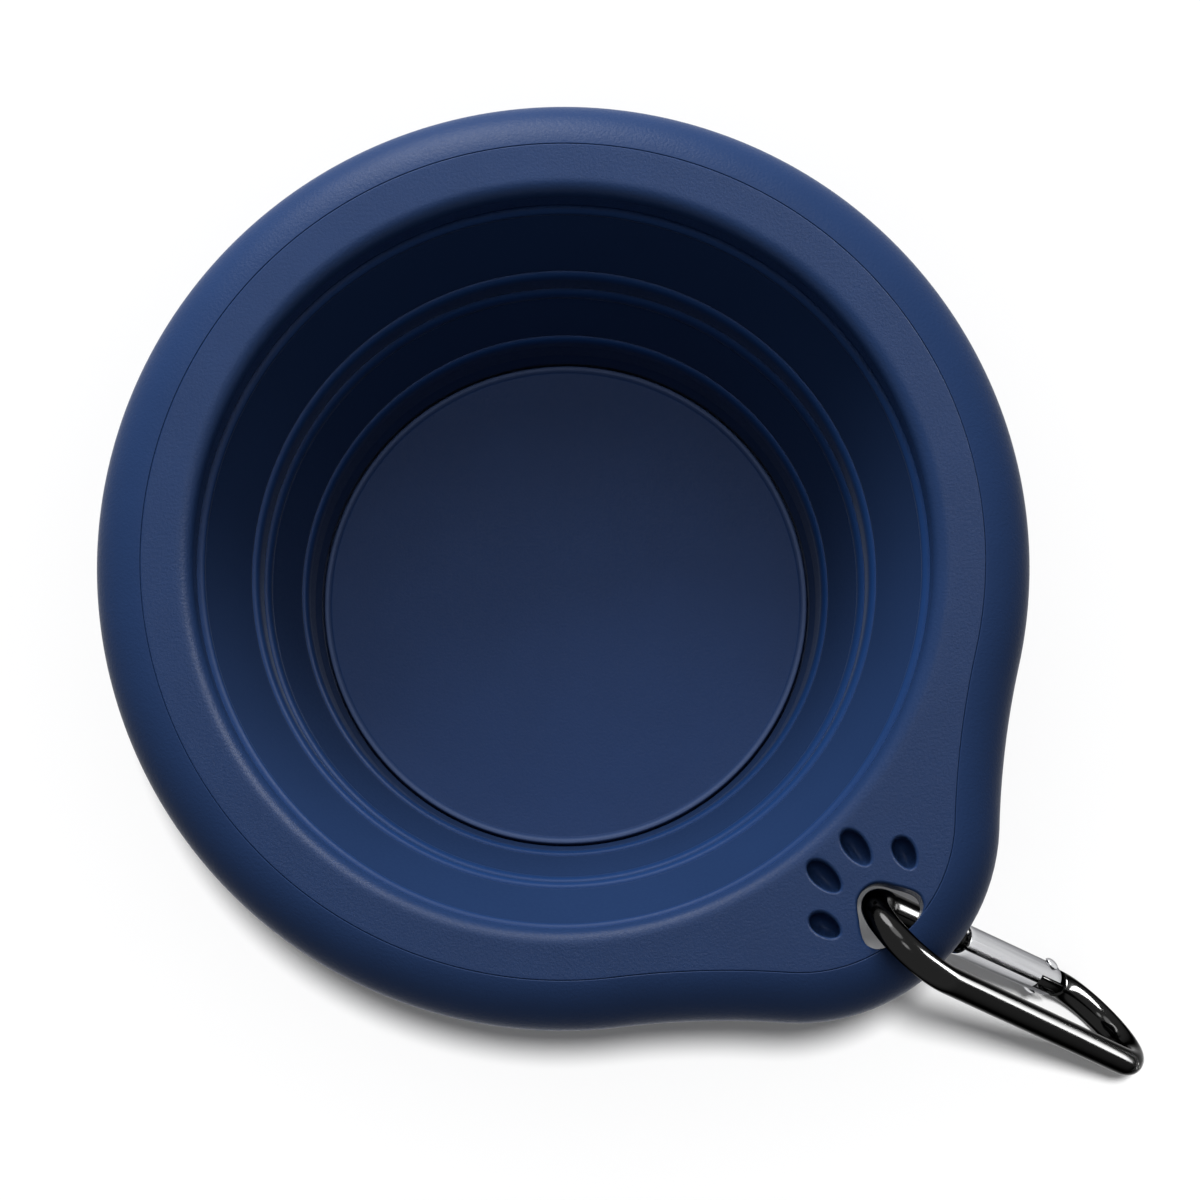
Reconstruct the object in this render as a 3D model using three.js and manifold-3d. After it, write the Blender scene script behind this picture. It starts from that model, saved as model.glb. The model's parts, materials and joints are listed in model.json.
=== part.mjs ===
// Collapsible pet bowl with a snap clip: a rigid two-shell rim with a paw tab,
// a soft folding wall in rings, and a rod clip with a sprung tube gate.
// Millimetres, +Z up, origin on the bowl axis at the underside of the base.
import * as THREE from "three";
import { ParametricGeometry } from "three/addons/geometries/ParametricGeometry.js";
import { mergeVertices } from "three/addons/utils/BufferGeometryUtils.js";
import Module from "manifold-3d";

// Driving dimensions of the bowl
const BOWL_HEIGHT = 52; // standing height, foot to rim top
const RIM_RADIUS = 65; // outer radius of the rim
const RIM_THICKNESS = 12; // height of the rim
const RIM_WIDTH = 13.8; // from the outer edge to the mouth
const LIP_ROUND = 1.7; // rounding of the mouth's top edge
const SEAM_INSET = 6; // the top seam runs this far inside the outline
const SEAM_TILT = THREE.MathUtils.degToRad(13); // slope of the rounded edge at the seam
const FLOOR_RADIUS = 36.2; // radius of the hard floor disc
const SHELL = 2.1; // wall of the moulded rim shells
const FIT = 0.3; // gap between pieces that touch
const FOLD_WALL = 1.5; // wall of the soft fold bands
const RING_WALL = 2.7; // wall of the stiff rings between the folds
const BASE_SKIN = 1.3; // soft skin under the floor disc
const FLOOR_SHEET = 1.5; // floor disc thickness
const FOOT_ROUND = 1.4; // rounding of the foot
const SKIRT_WALL = 2; // wall of the skirt inside the mouth
const COLLAR_STEP = 1.1; // the soft wall stands in from the mouth by this
const COLLAR_WALL = 2.4; // clamped wall outside the skirt
const FRAME_STEP = 1.3; // the lower flange ends this far outside the mouth
const WELD_LEDGE = 1.7; // ledge that carries the top face

// Driving dimensions of the tab and its paw
const TAB_AXIS = THREE.MathUtils.degToRad(-48);
const TAB_REACH = 11.4; // how far the tab stands out from the rim
const TAB_CORNER = 28; // radius of its rounded corner
const TAB_BLEND = 120; // radius of the hollow blends into the rim
const TAB_THICKNESS = 7; // the tab is thinner than the rim, so the clip goes round it
const PAW_INSET = 10.4; // centre of the pad hole from the tab's tip
const PAD_WIDTH = 9.8; // width of the pad hole, which sizes the whole paw
const TOE_DEPTH = 3.6; // the toes are blind recesses
const CUP_WALL = 0.9; // wall round each toe recess
const SLEEVE_WALL = 1.3; // wall round the pad hole

// Driving dimensions of the clip
const ROD = 4; // rod diameter of the clip
const CLIP_NEAR = 7.65; // centre line radius of the bend in the tab
const CLIP_FAR = 8.25; // centre line radius of the far bend
const CLIP_SPAN = 49; // distance between the two bend centres
const GATE_OUTER = 4.8; // outer diameter of the gate tube
const GATE_WALL = 0.45; // sheet thickness of the gate tube
const GATE_START = 19.8; // nose end of the gate, along its side
const GATE_LENGTH = 26.6; // length of the gate tube
const TONGUE = 1.6; // thickness of the flattened tongues
const NECK = 2.2; // half-cut rod between the gate and the full rod
const PIN = 1.3; // diameter of the hinge rivet and the catch pin
const CLIP_TURN = THREE.MathUtils.degToRad(-18.6); // heading of the clip, seen from above
const CLIP_ROLL = THREE.MathUtils.degToRad(29.8); // how far it rolls to its gate side
const GROUND_GAP = 0.15; // the far bend of the clip lies this far above the ground

// Mesh fineness
const TURN_STEPS = 64;
const OUTLINE_STEPS = 96;

const wasm = await Module();
wasm.setup();

// A geometry as a solid, for joining and cutting
function solid(geometry) {
  const bare = geometry.clone();
  bare.deleteAttribute("normal");
  bare.deleteAttribute("uv");
  const merged = mergeVertices(bare, 1e-4);
  const mesh = new wasm.Mesh({
    numProp: 3,
    vertProperties: merged.attributes.position.array,
    triVerts: new Uint32Array(merged.index.array),
  });
  return new wasm.Manifold(mesh);
}

// A solid as a geometry again
function geometryOf(body) {
  const mesh = body.getMesh();
  const geometry = new THREE.BufferGeometry();
  const position = new Float32Array(mesh.vertProperties);
  geometry.setAttribute("position", new THREE.BufferAttribute(position, 3));
  geometry.setIndex(new THREE.BufferAttribute(new Uint32Array(mesh.triVerts), 1));
  geometry.computeVertexNormals();
  return geometry;
}

// Turned piece about Z from [radius, height] points that run round the section
function turned(profile, steps = TURN_STEPS) {
  const points = profile.map(([r, z]) => new THREE.Vector2(r, z));
  if (THREE.ShapeUtils.area(points) < 0) points.reverse();
  const closed = profile[0][0] > 1e-6;
  if (closed) points.push(points[0].clone());
  const geometry = new THREE.LatheGeometry(points, steps);
  geometry.rotateX(Math.PI / 2);
  return geometry;
}

// Section points are [kind, offset, depth]: kind "edge" measures in from the outline,
// kind "axis" measures out from the bowl axis, and depth goes down from the rim top
const tip = RIM_RADIUS + TAB_REACH;
const cornerCentre = tip - TAB_CORNER;
const blendOut = RIM_RADIUS + TAB_BLEND;
const blendIn = TAB_CORNER + TAB_BLEND;
const cosBlend =
  (blendOut ** 2 + cornerCentre ** 2 - blendIn ** 2) / (2 * blendOut * cornerCentre);
const blendAngle = Math.acos(cosBlend);
const blendCentre = new THREE.Vector2(
  blendOut * Math.cos(blendAngle),
  blendOut * Math.sin(blendAngle),
);
const cornerTouch = blendCentre
  .clone()
  .sub(new THREE.Vector2(cornerCentre, 0))
  .multiplyScalar(TAB_CORNER / blendIn)
  .add(new THREE.Vector2(cornerCentre, 0));
const cornerAngle = cornerTouch.angle();

// Outline radius of the rim at a polar angle: circle, hollow blends and rounded corner
function outlineRadius(angle) {
  let away = Math.abs(angle - TAB_AXIS) % (2 * Math.PI);
  if (away > Math.PI) away = 2 * Math.PI - away;
  if (away >= blendAngle) return RIM_RADIUS;
  const ray = new THREE.Vector2(Math.cos(away), Math.sin(away));
  if (away <= cornerAngle) {
    const along = ray.x * cornerCentre;
    return along + Math.sqrt(along ** 2 - cornerCentre ** 2 + TAB_CORNER ** 2);
  }
  const along = ray.dot(blendCentre);
  return along - Math.sqrt(Math.max(0, along ** 2 - blendCentre.lengthSq() + TAB_BLEND ** 2));
}

function outlinePoint(angle) {
  const r = outlineRadius(angle);
  return new THREE.Vector2(r * Math.cos(angle), r * Math.sin(angle));
}

function inwardNormal(angle) {
  const ahead = outlinePoint(angle + 1e-4);
  const behind = outlinePoint(angle - 1e-4);
  const tangent = ahead.sub(behind).normalize();
  return new THREE.Vector2(-tangent.y, tangent.x);
}

// How much the section at an angle belongs to the tab: 0 on the rim, 1 on the tab
function tabShare(angle) {
  const out = (outlineRadius(angle) - RIM_RADIUS) / (0.38 * TAB_REACH);
  return THREE.MathUtils.smoothstep(out, 0, 1);
}

// Ring swept round the outline, its section given for each angle
function outlineRing(sectionAt) {
  const count = sectionAt(0).length;
  const at = (u, v, target) => {
    const step = Math.round(u * OUTLINE_STEPS) % OUTLINE_STEPS;
    const angle = TAB_AXIS + (2 * Math.PI * step) / OUTLINE_STEPS;
    const [kind, offset, depth] = sectionAt(angle)[(count - Math.round(v * count)) % count];
    if (kind === "axis") {
      target.set(offset * Math.cos(angle), offset * Math.sin(angle), BOWL_HEIGHT - depth);
      return;
    }
    const p = outlinePoint(angle).addScaledVector(inwardNormal(angle), offset);
    target.set(p.x, p.y, BOWL_HEIGHT - depth);
  };
  return new ParametricGeometry(at, OUTLINE_STEPS, count);
}

const mix = THREE.MathUtils.lerp;
const quarter = (steps) => [...Array(steps).keys()].map((k) => ((k + 1) * Math.PI) / 2 / steps);

// Radii, and depths below the rim top, that the rim's pieces share
const lipRadius = RIM_RADIUS - RIM_WIDTH;
const coverUnder = SHELL;
const ledgeTop = coverUnder + FIT;
const ledgeUnder = ledgeTop + WELD_LEDGE;
const skirtEnd = 0.6 * RIM_THICKNESS;
const collarTop = skirtEnd + FIT;
const frameFloor = RIM_THICKNESS - SHELL;
const skirtOuter = lipRadius + SKIRT_WALL;
const collarInner = lipRadius - COLLAR_STEP;
const collarOuter = skirtOuter + FIT + COLLAR_WALL;
const frameInner = lipRadius + FRAME_STEP;
const bull = RIM_THICKNESS / 2;
const ledgeReach = SEAM_INSET + SKIRT_WALL;

// Lower shell of the rim: full round outer edge, tab, and the ledge that carries the cover
function frameSection(angle) {
  const t = tabShare(angle);
  const under = mix(RIM_THICKNESS, TAB_THICKNESS, t);
  const lowRound = mix(SEAM_INSET, 1.8, t);
  const inside = under - SHELL;
  const stepOut = mix(RIM_RADIUS - SEAM_INSET - 0.5, RIM_RADIUS - 4.5, t);
  const points = [["edge", SEAM_INSET, 0]];
  for (const q of quarter(5)) {
    const turn = mix(SEAM_TILT, Math.PI / 2, q / (Math.PI / 2));
    const out = (Math.sin(turn) - Math.sin(SEAM_TILT)) / (1 - Math.sin(SEAM_TILT));
    const down = 1 - Math.cos(turn) / Math.cos(SEAM_TILT);
    points.push(["edge", SEAM_INSET * (1 - out), bull * down]);
  }
  for (const q of quarter(4)) {
    points.push(["edge", lowRound * (1 - Math.cos(q)), bull + (under - bull) * Math.sin(q)]);
  }
  points.push(["axis", stepOut, under]);
  points.push(["axis", stepOut - 1, RIM_THICKNESS]);
  points.push(["axis", frameInner, RIM_THICKNESS]);
  points.push(["axis", frameInner, frameFloor]);
  points.push(["axis", collarOuter + 1, frameFloor]);
  points.push(["axis", collarOuter + 1.8, mix(frameFloor, inside, t)]);
  points.push(["edge", mix(SHELL + 2, ledgeReach - 0.3, t), mix(frameFloor - 0.6, inside, t)]);
  points.push(["edge", mix(SHELL, ledgeReach - 0.2, t), mix(bull, ledgeUnder + 0.3, t)]);
  points.push(["edge", mix(SHELL + 1, ledgeReach - 0.1, t), mix(ledgeUnder, ledgeUnder + 0.15, t)]);
  points.push(["edge", ledgeReach, ledgeUnder]);
  points.push(["edge", ledgeReach, ledgeTop]);
  points.push(["edge", SEAM_INSET, ledgeTop]);
  return points;
}

// Upper shell of the rim: flat face, rounded lip and the skirt that clamps the soft wall
function coverSection() {
  const points = [["edge", SEAM_INSET + FIT, 0]];
  points.push(["axis", lipRadius + LIP_ROUND, 0]);
  for (const q of quarter(4)) {
    const r = lipRadius + LIP_ROUND * (1 - Math.sin(q));
    points.push(["axis", r, LIP_ROUND * (1 - Math.cos(q))]);
  }
  points.push(["axis", lipRadius, skirtEnd]);
  points.push(["axis", skirtOuter, skirtEnd]);
  points.push(["axis", skirtOuter, coverUnder]);
  points.push(["edge", SEAM_INSET + FIT, coverUnder]);
  return points.reverse();
}

// Paw in tab coordinates, in shares of the pad's width: x across the tab, y towards the bowl,
// about the pad's centre
const padHalf = [
  [0, 0.434],
  [0.153, 0.398],
  [0.265, 0.296],
  [0.347, 0.173],
  [0.429, 0.051],
  [0.49, -0.071],
  [0.5, -0.184],
  [0.429, -0.306],
  [0.265, -0.378],
  [0, -0.393],
].map(([x, y]) => [x * PAD_WIDTH, y * PAD_WIDTH]);
const toes = [
  { x: 0.301, y: 0.939, long: 0.571, wide: 0.306, turn: -5 },
  { x: -0.301, y: 0.939, long: 0.571, wide: 0.306, turn: 5 },
  { x: 0.755, y: 0.429, long: 0.469, wide: 0.296, turn: -15 },
  { x: -0.755, y: 0.429, long: 0.469, wide: 0.296, turn: 15 },
];

// Smooth closed shape through points, grown outward by a margin
function roundShape(points, grow, count) {
  const curve = new THREE.CatmullRomCurve3(
    points.map(([x, y]) => new THREE.Vector3(x, y, 0)),
    true,
    "centripetal",
  );
  const outline = [];
  for (let k = 0; k < count; k++) {
    const at = curve.getPoint(k / count);
    const along = curve.getTangent(k / count);
    outline.push(new THREE.Vector2(at.x + grow * along.y, at.y - grow * along.x));
  }
  const shape = new THREE.Shape(outline);
  if (THREE.ShapeUtils.area(outline) < 0) shape.setFromPoints(outline.reverse());
  return shape;
}

function padShape(grow) {
  const left = padHalf.slice(1, -1).map(([x, y]) => [-x, y]);
  const loop = [...padHalf.slice().reverse(), ...left];
  return roundShape(loop, grow, 30);
}

// Egg outline, its narrow end towards the pad
function toeShape(toe, grow) {
  const points = [];
  const turn = THREE.MathUtils.degToRad(toe.turn);
  for (let k = 0; k < 18; k++) {
    const a = (2 * Math.PI * k) / 18;
    const y = ((toe.long * PAD_WIDTH) / 2 + grow) * Math.sin(a);
    const x = ((toe.wide * PAD_WIDTH) / 2 + grow) * Math.cos(a) * (1 + 0.13 * Math.sin(a));
    points.push(
      new THREE.Vector2(
        toe.x * PAD_WIDTH + x * Math.cos(turn) - y * Math.sin(turn),
        toe.y * PAD_WIDTH + x * Math.sin(turn) + y * Math.cos(turn),
      ),
    );
  }
  return new THREE.Shape(points);
}

// Prism of a paw shape between two depths below the rim top
function pawPrism(shape, depthTop, depthEnd) {
  const geometry = new THREE.ExtrudeGeometry(shape, {
    depth: depthEnd - depthTop,
    bevelEnabled: false,
    curveSegments: 1,
  });
  const place = new THREE.Matrix4().makeRotationZ(TAB_AXIS + Math.PI / 2);
  geometry.applyMatrix4(place);
  const reach = tip - PAW_INSET;
  geometry.translate(
    reach * Math.cos(TAB_AXIS),
    reach * Math.sin(TAB_AXIS),
    BOWL_HEIGHT - depthEnd,
  );
  return solid(geometry);
}

const padThrough = pawPrism(padShape(0), -1, RIM_THICKNESS + 1);
const sleeve = pawPrism(padShape(SLEEVE_WALL), ledgeTop, TAB_THICKNESS - 0.5);
const rimFrame = solid(outlineRing(frameSection)).add(sleeve).subtract(padThrough);

let rimCover = solid(outlineRing(coverSection));
for (const toe of toes) {
  rimCover = rimCover.add(pawPrism(toeShape(toe, CUP_WALL), 0.4, TOE_DEPTH + CUP_WALL));
}
for (const toe of toes) {
  rimCover = rimCover.subtract(pawPrism(toeShape(toe, 0), -1, TOE_DEPTH));
}
rimCover = rimCover.subtract(padThrough);

// Soft wall, from the collar clamped in the rim down to the foot
const z = (depth) => BOWL_HEIGHT - depth;
const wallTop = collarTop + COLLAR_STEP;
const bodyDrop = BOWL_HEIGHT - wallTop;
const upperEnd = wallTop + 0.267 * bodyDrop;
const middleEnd = wallTop + 0.465 * bodyDrop;
const lowerEnd = wallTop + 0.677 * bodyDrop;
const wallIn = (share) => mix(collarInner, FLOOR_RADIUS, share);
const upperLow = wallIn(0.405);
const middleIn = wallIn(0.48);
const lowerHigh = wallIn(0.57);
const lowerLow = wallIn(0.833);
const baseHigh = wallIn(0.9);
const middleOut = middleIn + RING_WALL;
const baseOut = baseHigh + RING_WALL - 0.5;

const collarFoot = collarInner + FOLD_WALL + FIT + 0.1;

const collar = turned([
  [collarInner + 0.5, z(collarTop)],
  [collarInner, z(collarTop + 0.6)],
  [collarInner, z(wallTop)],
  [collarFoot, z(wallTop)],
  [collarFoot, z(frameFloor - FIT)],
  [collarOuter, z(frameFloor - FIT)],
  [collarOuter, z(collarTop - SKIRT_WALL)],
  [skirtOuter + FIT, z(collarTop - SKIRT_WALL)],
  [skirtOuter + FIT, z(collarTop)],
]);

const upperFold = turned([
  [collarInner, z(wallTop + FIT)],
  [upperLow, z(upperEnd - FIT)],
  [upperLow + FOLD_WALL, z(upperEnd - FIT)],
  [collarInner + FOLD_WALL, z(wallTop + FIT)],
]);

const middleRing = turned([
  [upperLow - 0.4, z(upperEnd)],
  [mix(upperLow, middleIn, 0.8), z(upperEnd + 0.8)],
  [middleIn, z(upperEnd + 2.2)],
  [middleIn - 0.2, z(middleEnd - 2.4)],
  [mix(middleIn, lowerHigh, 0.7), z(middleEnd - 1.6)],
  [lowerHigh, z(middleEnd)],
  [middleOut - 0.8, z(middleEnd)],
  [middleOut, z(middleEnd - 1)],
  [middleOut, z(upperEnd)],
]);

const lowerFold = turned([
  [lowerHigh, z(middleEnd + FIT)],
  [lowerLow, z(lowerEnd - FIT)],
  [lowerLow + FOLD_WALL, z(lowerEnd - FIT)],
  [lowerHigh + FOLD_WALL, z(middleEnd + FIT)],
]);

const discUnder = BASE_SKIN + FIT;
const discTop = discUnder + FLOOR_SHEET;
const baseCup = turned([
  [0, BASE_SKIN],
  [FLOOR_RADIUS + FIT, BASE_SKIN],
  [FLOOR_RADIUS + FIT, discTop + 1],
  [mix(FLOOR_RADIUS + FIT, baseHigh, 0.5), discTop + 4],
  [baseHigh, z(lowerEnd + 2.4)],
  [mix(lowerLow, baseHigh, 0.8), z(lowerEnd + 0.9)],
  [lowerLow - 0.4, z(lowerEnd)],
  [baseOut, z(lowerEnd)],
  [baseOut - 0.6, FOOT_ROUND + 2],
  [baseOut - 0.8, FOOT_ROUND],
  [baseOut - 0.8 - 0.3 * FOOT_ROUND, 0.3 * FOOT_ROUND],
  [baseOut - 0.8 - FOOT_ROUND, 0],
  [0, 0],
]);

// Hard floor disc with a raised, rounded edge
const floorDisc = turned([
  [0, discTop],
  [FLOOR_RADIUS - 1.5, discTop],
  [FLOOR_RADIUS - 1, discTop + 0.45],
  [FLOOR_RADIUS - 0.35, discTop + 0.5],
  [FLOOR_RADIUS, discTop + 0.1],
  [FLOOR_RADIUS, discUnder],
  [0, discUnder],
]);

// Clip, drawn flat: x runs from the bend in the tab to the far bend,
// y from the rod side to the gate side, z is the hinge direction
const flare = Math.asin((CLIP_FAR - CLIP_NEAR) / CLIP_SPAN);
const sideLength = Math.sqrt(CLIP_SPAN ** 2 - (CLIP_FAR - CLIP_NEAR) ** 2);
const gateLine = (along, out = 0) =>
  new THREE.Vector3(
    -CLIP_NEAR * Math.sin(flare) + along * Math.cos(flare) - out * Math.sin(flare),
    CLIP_NEAR * Math.cos(flare) + along * Math.sin(flare) + out * Math.cos(flare),
    0,
  );
const gateEnd = GATE_START + GATE_LENGTH;
const gateBore = GATE_OUTER / 2 - GATE_WALL;
const tongueHigh = 2 * gateBore - 0.7;
const shoulder = gateEnd + NECK; // full rod starts here on the hinge side
const pinAt = gateEnd - 2.2;
const catchAt = GATE_START + 2.6;

class ClipPath extends THREE.Curve {
  constructor() {
    super();
    const nearArc = Math.PI - 2 * flare;
    const farArc = Math.PI + 2 * flare;
    const noseRun = GATE_START - 0.6;
    this.runs = [
      noseRun,
      CLIP_NEAR * nearArc,
      sideLength,
      CLIP_FAR * farArc,
      sideLength - shoulder,
    ];
    this.total = this.runs.reduce((sum, run) => sum + run, 0);
  }
  getPoint(t, target = new THREE.Vector3()) {
    let along = t * this.total;
    const [nose, near, rod, far] = this.runs;
    if (along < nose) return target.copy(gateLine(nose - along));
    along -= nose;
    const start = Math.PI / 2 + flare;
    if (along < near) {
      const a = start + along / CLIP_NEAR;
      return target.set(CLIP_NEAR * Math.cos(a), CLIP_NEAR * Math.sin(a), 0);
    }
    along -= near;
    if (along < rod) {
      const p = gateLine(along);
      return target.set(p.x, -p.y, 0);
    }
    along -= rod;
    if (along < far) {
      const a = -start + along / CLIP_FAR;
      return target.set(CLIP_SPAN + CLIP_FAR * Math.cos(a), CLIP_FAR * Math.sin(a), 0);
    }
    along -= far;
    return target.copy(gateLine(sideLength - along));
  }
}

function circleShape(radius, sides) {
  const points = [];
  for (let k = 0; k < sides; k++) {
    const a = (2 * Math.PI * (k + 0.5)) / sides;
    points.push(new THREE.Vector2(radius * Math.cos(a), radius * Math.sin(a)));
  }
  return new THREE.Shape(points);
}

// Pieces on the gate's line: x along the gate, y outward, z along the hinge
function onGate(geometry) {
  const origin = gateLine(0);
  geometry.applyMatrix4(new THREE.Matrix4().makeRotationZ(flare));
  geometry.translate(origin.x, origin.y, origin.z);
  return geometry;
}

function gateBox(from, to, low, high, thick) {
  const box = new THREE.BoxGeometry(to - from, high - low, thick);
  box.translate((from + to) / 2, (low + high) / 2, 0);
  return solid(onGate(box));
}

function crossPin(along, radius, length, sides = 16) {
  const pin = new THREE.CylinderGeometry(radius, radius, length, sides);
  pin.rotateX(Math.PI / 2);
  pin.translate(along, 0, 0);
  return onGate(pin);
}

function gateTurned(profile, steps) {
  const points = profile.map(([r, along]) => new THREE.Vector2(r, along));
  if (profile[0][0] > 1e-6) points.push(points[0].clone());
  const geometry = new THREE.LatheGeometry(points, steps);
  geometry.rotateZ(-Math.PI / 2);
  return onGate(geometry);
}

const pinHole = PIN / 2 + 0.05;
const rodShape = circleShape(ROD / 2, 12);
const rodBend = new THREE.ExtrudeGeometry(rodShape, {
  steps: 52,
  extrudePath: new ClipPath(),
  bevelEnabled: false,
});
const noseTongue = gateBox(GATE_START - 1.2, GATE_START + 4.2, -tongueHigh / 2, tongueHigh / 2, TONGUE);
const hingeTongue = gateBox(pinAt - 1.9, shoulder + 0.8, -tongueHigh / 2, tongueHigh / 2, TONGUE);
// Half-cut neck: the side that faces the loop is cut away, so that the gate's end can swing past it
const neckRound = new THREE.CylinderGeometry(ROD / 2, ROD / 2, NECK + 0.8 - FIT, 24);
neckRound.rotateZ(Math.PI / 2);
neckRound.translate((gateEnd + FIT + shoulder + 0.8) / 2, 0, 0);
const neck = solid(onGate(neckRound)).intersect(gateBox(gateEnd, shoulder + 1, 0.2, ROD, 2 * ROD));
const clipBody = solid(rodBend)
  .add(noseTongue)
  .add(hingeTongue)
  .add(neck)
  .subtract(solid(crossPin(pinAt, pinHole, 2 * GATE_OUTER)))
  .subtract(solid(crossPin(catchAt, pinHole, 2 * GATE_OUTER)));

// Gate: a rolled tube with its seam on the inside, slotted for the two tongues
const gateRound = gateTurned(
  [
    [gateBore, GATE_START],
    [gateBore, gateEnd],
    [GATE_OUTER / 2 - 0.1, gateEnd],
    [GATE_OUTER / 2, gateEnd - 0.15],
    [GATE_OUTER / 2, GATE_START + 0.15],
    [GATE_OUTER / 2 - 0.1, GATE_START],
  ].reverse(),
  20,
);
const tongueSlot = TONGUE + 0.7;
const clipGate = solid(gateRound)
  .subtract(gateBox(GATE_START - 1, gateEnd + 1, -GATE_OUTER, 0, 0.4))
  .subtract(gateBox(GATE_START - 1, GATE_START + 5.2, 0, GATE_OUTER, tongueSlot))
  .subtract(gateBox(catchAt - 1, catchAt + 1, 0, GATE_OUTER, 2 * gateBore - 0.2))
  .subtract(gateBox(pinAt - 3, gateEnd + 1, 0, GATE_OUTER, tongueSlot))
  .subtract(gateBox(pinAt - 3.4, gateEnd + 1, -GATE_OUTER, 0, tongueSlot))
  .subtract(solid(crossPin(pinAt, pinHole, 2 * GATE_OUTER)));

// Rivet with two low heads, through both walls of the gate and the hinge tongue
const headLow = Math.sqrt((GATE_OUTER / 2) ** 2 - (PIN / 2) ** 2) + 0.36;
const rivetProfile = [
  [0, -headLow - 0.4],
  [PIN * 0.62, -headLow - 0.3],
  [PIN * 0.85, -headLow],
  [PIN / 2, -headLow],
  [PIN / 2, headLow],
  [PIN * 0.85, headLow],
  [PIN * 0.62, headLow + 0.3],
  [0, headLow + 0.4],
];
const rivetPoints = rivetProfile.map(([r, along]) => new THREE.Vector2(r, along));
const rivetRound = new THREE.LatheGeometry(rivetPoints, 16);
rivetRound.rotateX(Math.PI / 2);
rivetRound.translate(pinAt, 0, 0);
const hingeRivet = onGate(rivetRound);

const catchPin = crossPin(catchAt, PIN / 2, 2 * gateBore - 0.9, 16);

// Spring: a thin wire inside the tube, from the rivet's tongue towards the nose
const springFrom = catchAt + 4.2;
const springTo = pinAt - 1.9 - FIT;
const springPath = new THREE.CatmullRomCurve3([
  new THREE.Vector3(springFrom, -gateBore + 0.75, 0),
  new THREE.Vector3(mix(springFrom, springTo, 0.35), -gateBore + 0.85, 0),
  new THREE.Vector3(mix(springFrom, springTo, 0.7), gateBore - 1, 0),
  new THREE.Vector3(springTo, 0.35, 0),
]);
const gateSpring = onGate(
  new THREE.ExtrudeGeometry(circleShape(0.4, 8), {
    steps: 12,
    extrudePath: springPath,
    bevelEnabled: false,
  }),
);

// Materials
const skin = (color, roughness, metalness = 0) =>
  new THREE.MeshStandardMaterial({ color, roughness, metalness });

function piece(name, geometry, material) {
  const mesh = new THREE.Mesh(geometry, material);
  mesh.name = name;
  return mesh;
}

const bowl = new THREE.Group();
bowl.add(piece("rim_frame", geometryOf(rimFrame), skin(0x22355f, 0.55)));
bowl.add(piece("rim_cover", geometryOf(rimCover), skin(0x263b68, 0.6)));
bowl.add(piece("wall_collar", collar, skin(0x1b2f5c, 0.65)));
bowl.add(piece("upper_fold", upperFold, skin(0x1b2f5c, 0.65)));
bowl.add(piece("middle_ring", middleRing, skin(0x1b2f5c, 0.65)));
bowl.add(piece("lower_fold", lowerFold, skin(0x1b2f5c, 0.65)));
bowl.add(piece("base_cup", baseCup, skin(0x1b2f5c, 0.65)));
bowl.add(piece("floor_disc", floorDisc, skin(0x2c3b60, 0.62)));

const clip = new THREE.Group();
clip.add(piece("clip_body", geometryOf(clipBody), skin(0x0b0b0c, 0.22, 0.6)));
clip.add(piece("clip_gate", geometryOf(clipGate), skin(0xc9ccd0, 0.25, 1)));
clip.add(piece("gate_rivet", hingeRivet, skin(0xb9bcc0, 0.3, 1)));
clip.add(piece("catch_pin", catchPin, skin(0xb9bcc0, 0.3, 1)));
clip.add(piece("gate_spring", gateSpring, skin(0x9a9da1, 0.35, 1)));

// The clip lies through the pad hole round the tab's outer web, its far bend on the ground
const webWidth = PAW_INSET - 0.393 * PAD_WIDTH;
const webReach = tip - 0.686 * webWidth;
const webHeight = BOWL_HEIGHT - 0.373 * TAB_THICKNESS;

// Lean at which the far bend just meets the ground
function leanToGround() {
  let low = 0;
  let high = Math.PI / 2;
  for (let k = 0; k < 40; k++) {
    const lean = (low + high) / 2;
    const rise = Math.hypot(Math.sin(lean), Math.cos(lean) * Math.cos(CLIP_ROLL));
    const bottom = webHeight - CLIP_SPAN * Math.sin(lean) - CLIP_FAR * rise - ROD / 2;
    if (bottom > GROUND_GAP) low = lean;
    else high = lean;
  }
  return low;
}

const lean = leanToGround();
const heading = new THREE.Vector3(
  Math.cos(lean) * Math.cos(CLIP_TURN),
  Math.cos(lean) * Math.sin(CLIP_TURN),
  -Math.sin(lean),
);
const below = new THREE.Vector3(
  -Math.sin(lean) * Math.cos(CLIP_TURN),
  -Math.sin(lean) * Math.sin(CLIP_TURN),
  -Math.cos(lean),
);
const beside = new THREE.Vector3(-Math.sin(CLIP_TURN), Math.cos(CLIP_TURN), 0);
const gateSide = below
  .multiplyScalar(Math.cos(CLIP_ROLL))
  .addScaledVector(beside, Math.sin(CLIP_ROLL));
const hinge = new THREE.Vector3().crossVectors(heading, gateSide);
const webAngle = TAB_AXIS + 0.0088;
const clipPlace = new THREE.Matrix4().makeBasis(heading, gateSide, hinge);
clipPlace.setPosition(
  webReach * Math.cos(webAngle),
  webReach * Math.sin(webAngle),
  webHeight,
);
clip.applyMatrix4(clipPlace);
bowl.add(clip);

export default bowl;
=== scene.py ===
"""Collapsible pet bowl with a snap clip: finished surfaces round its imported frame.

Sections and outlines are worked out in millimetres. Objects are placed in metres, +Z up, with
the origin on the bowl's axis at the underside of the base.
"""

import json
import math

import bmesh
import bpy
from bpy.props import FloatProperty, FloatVectorProperty, PointerProperty
from mathutils import Matrix, Vector


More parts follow.
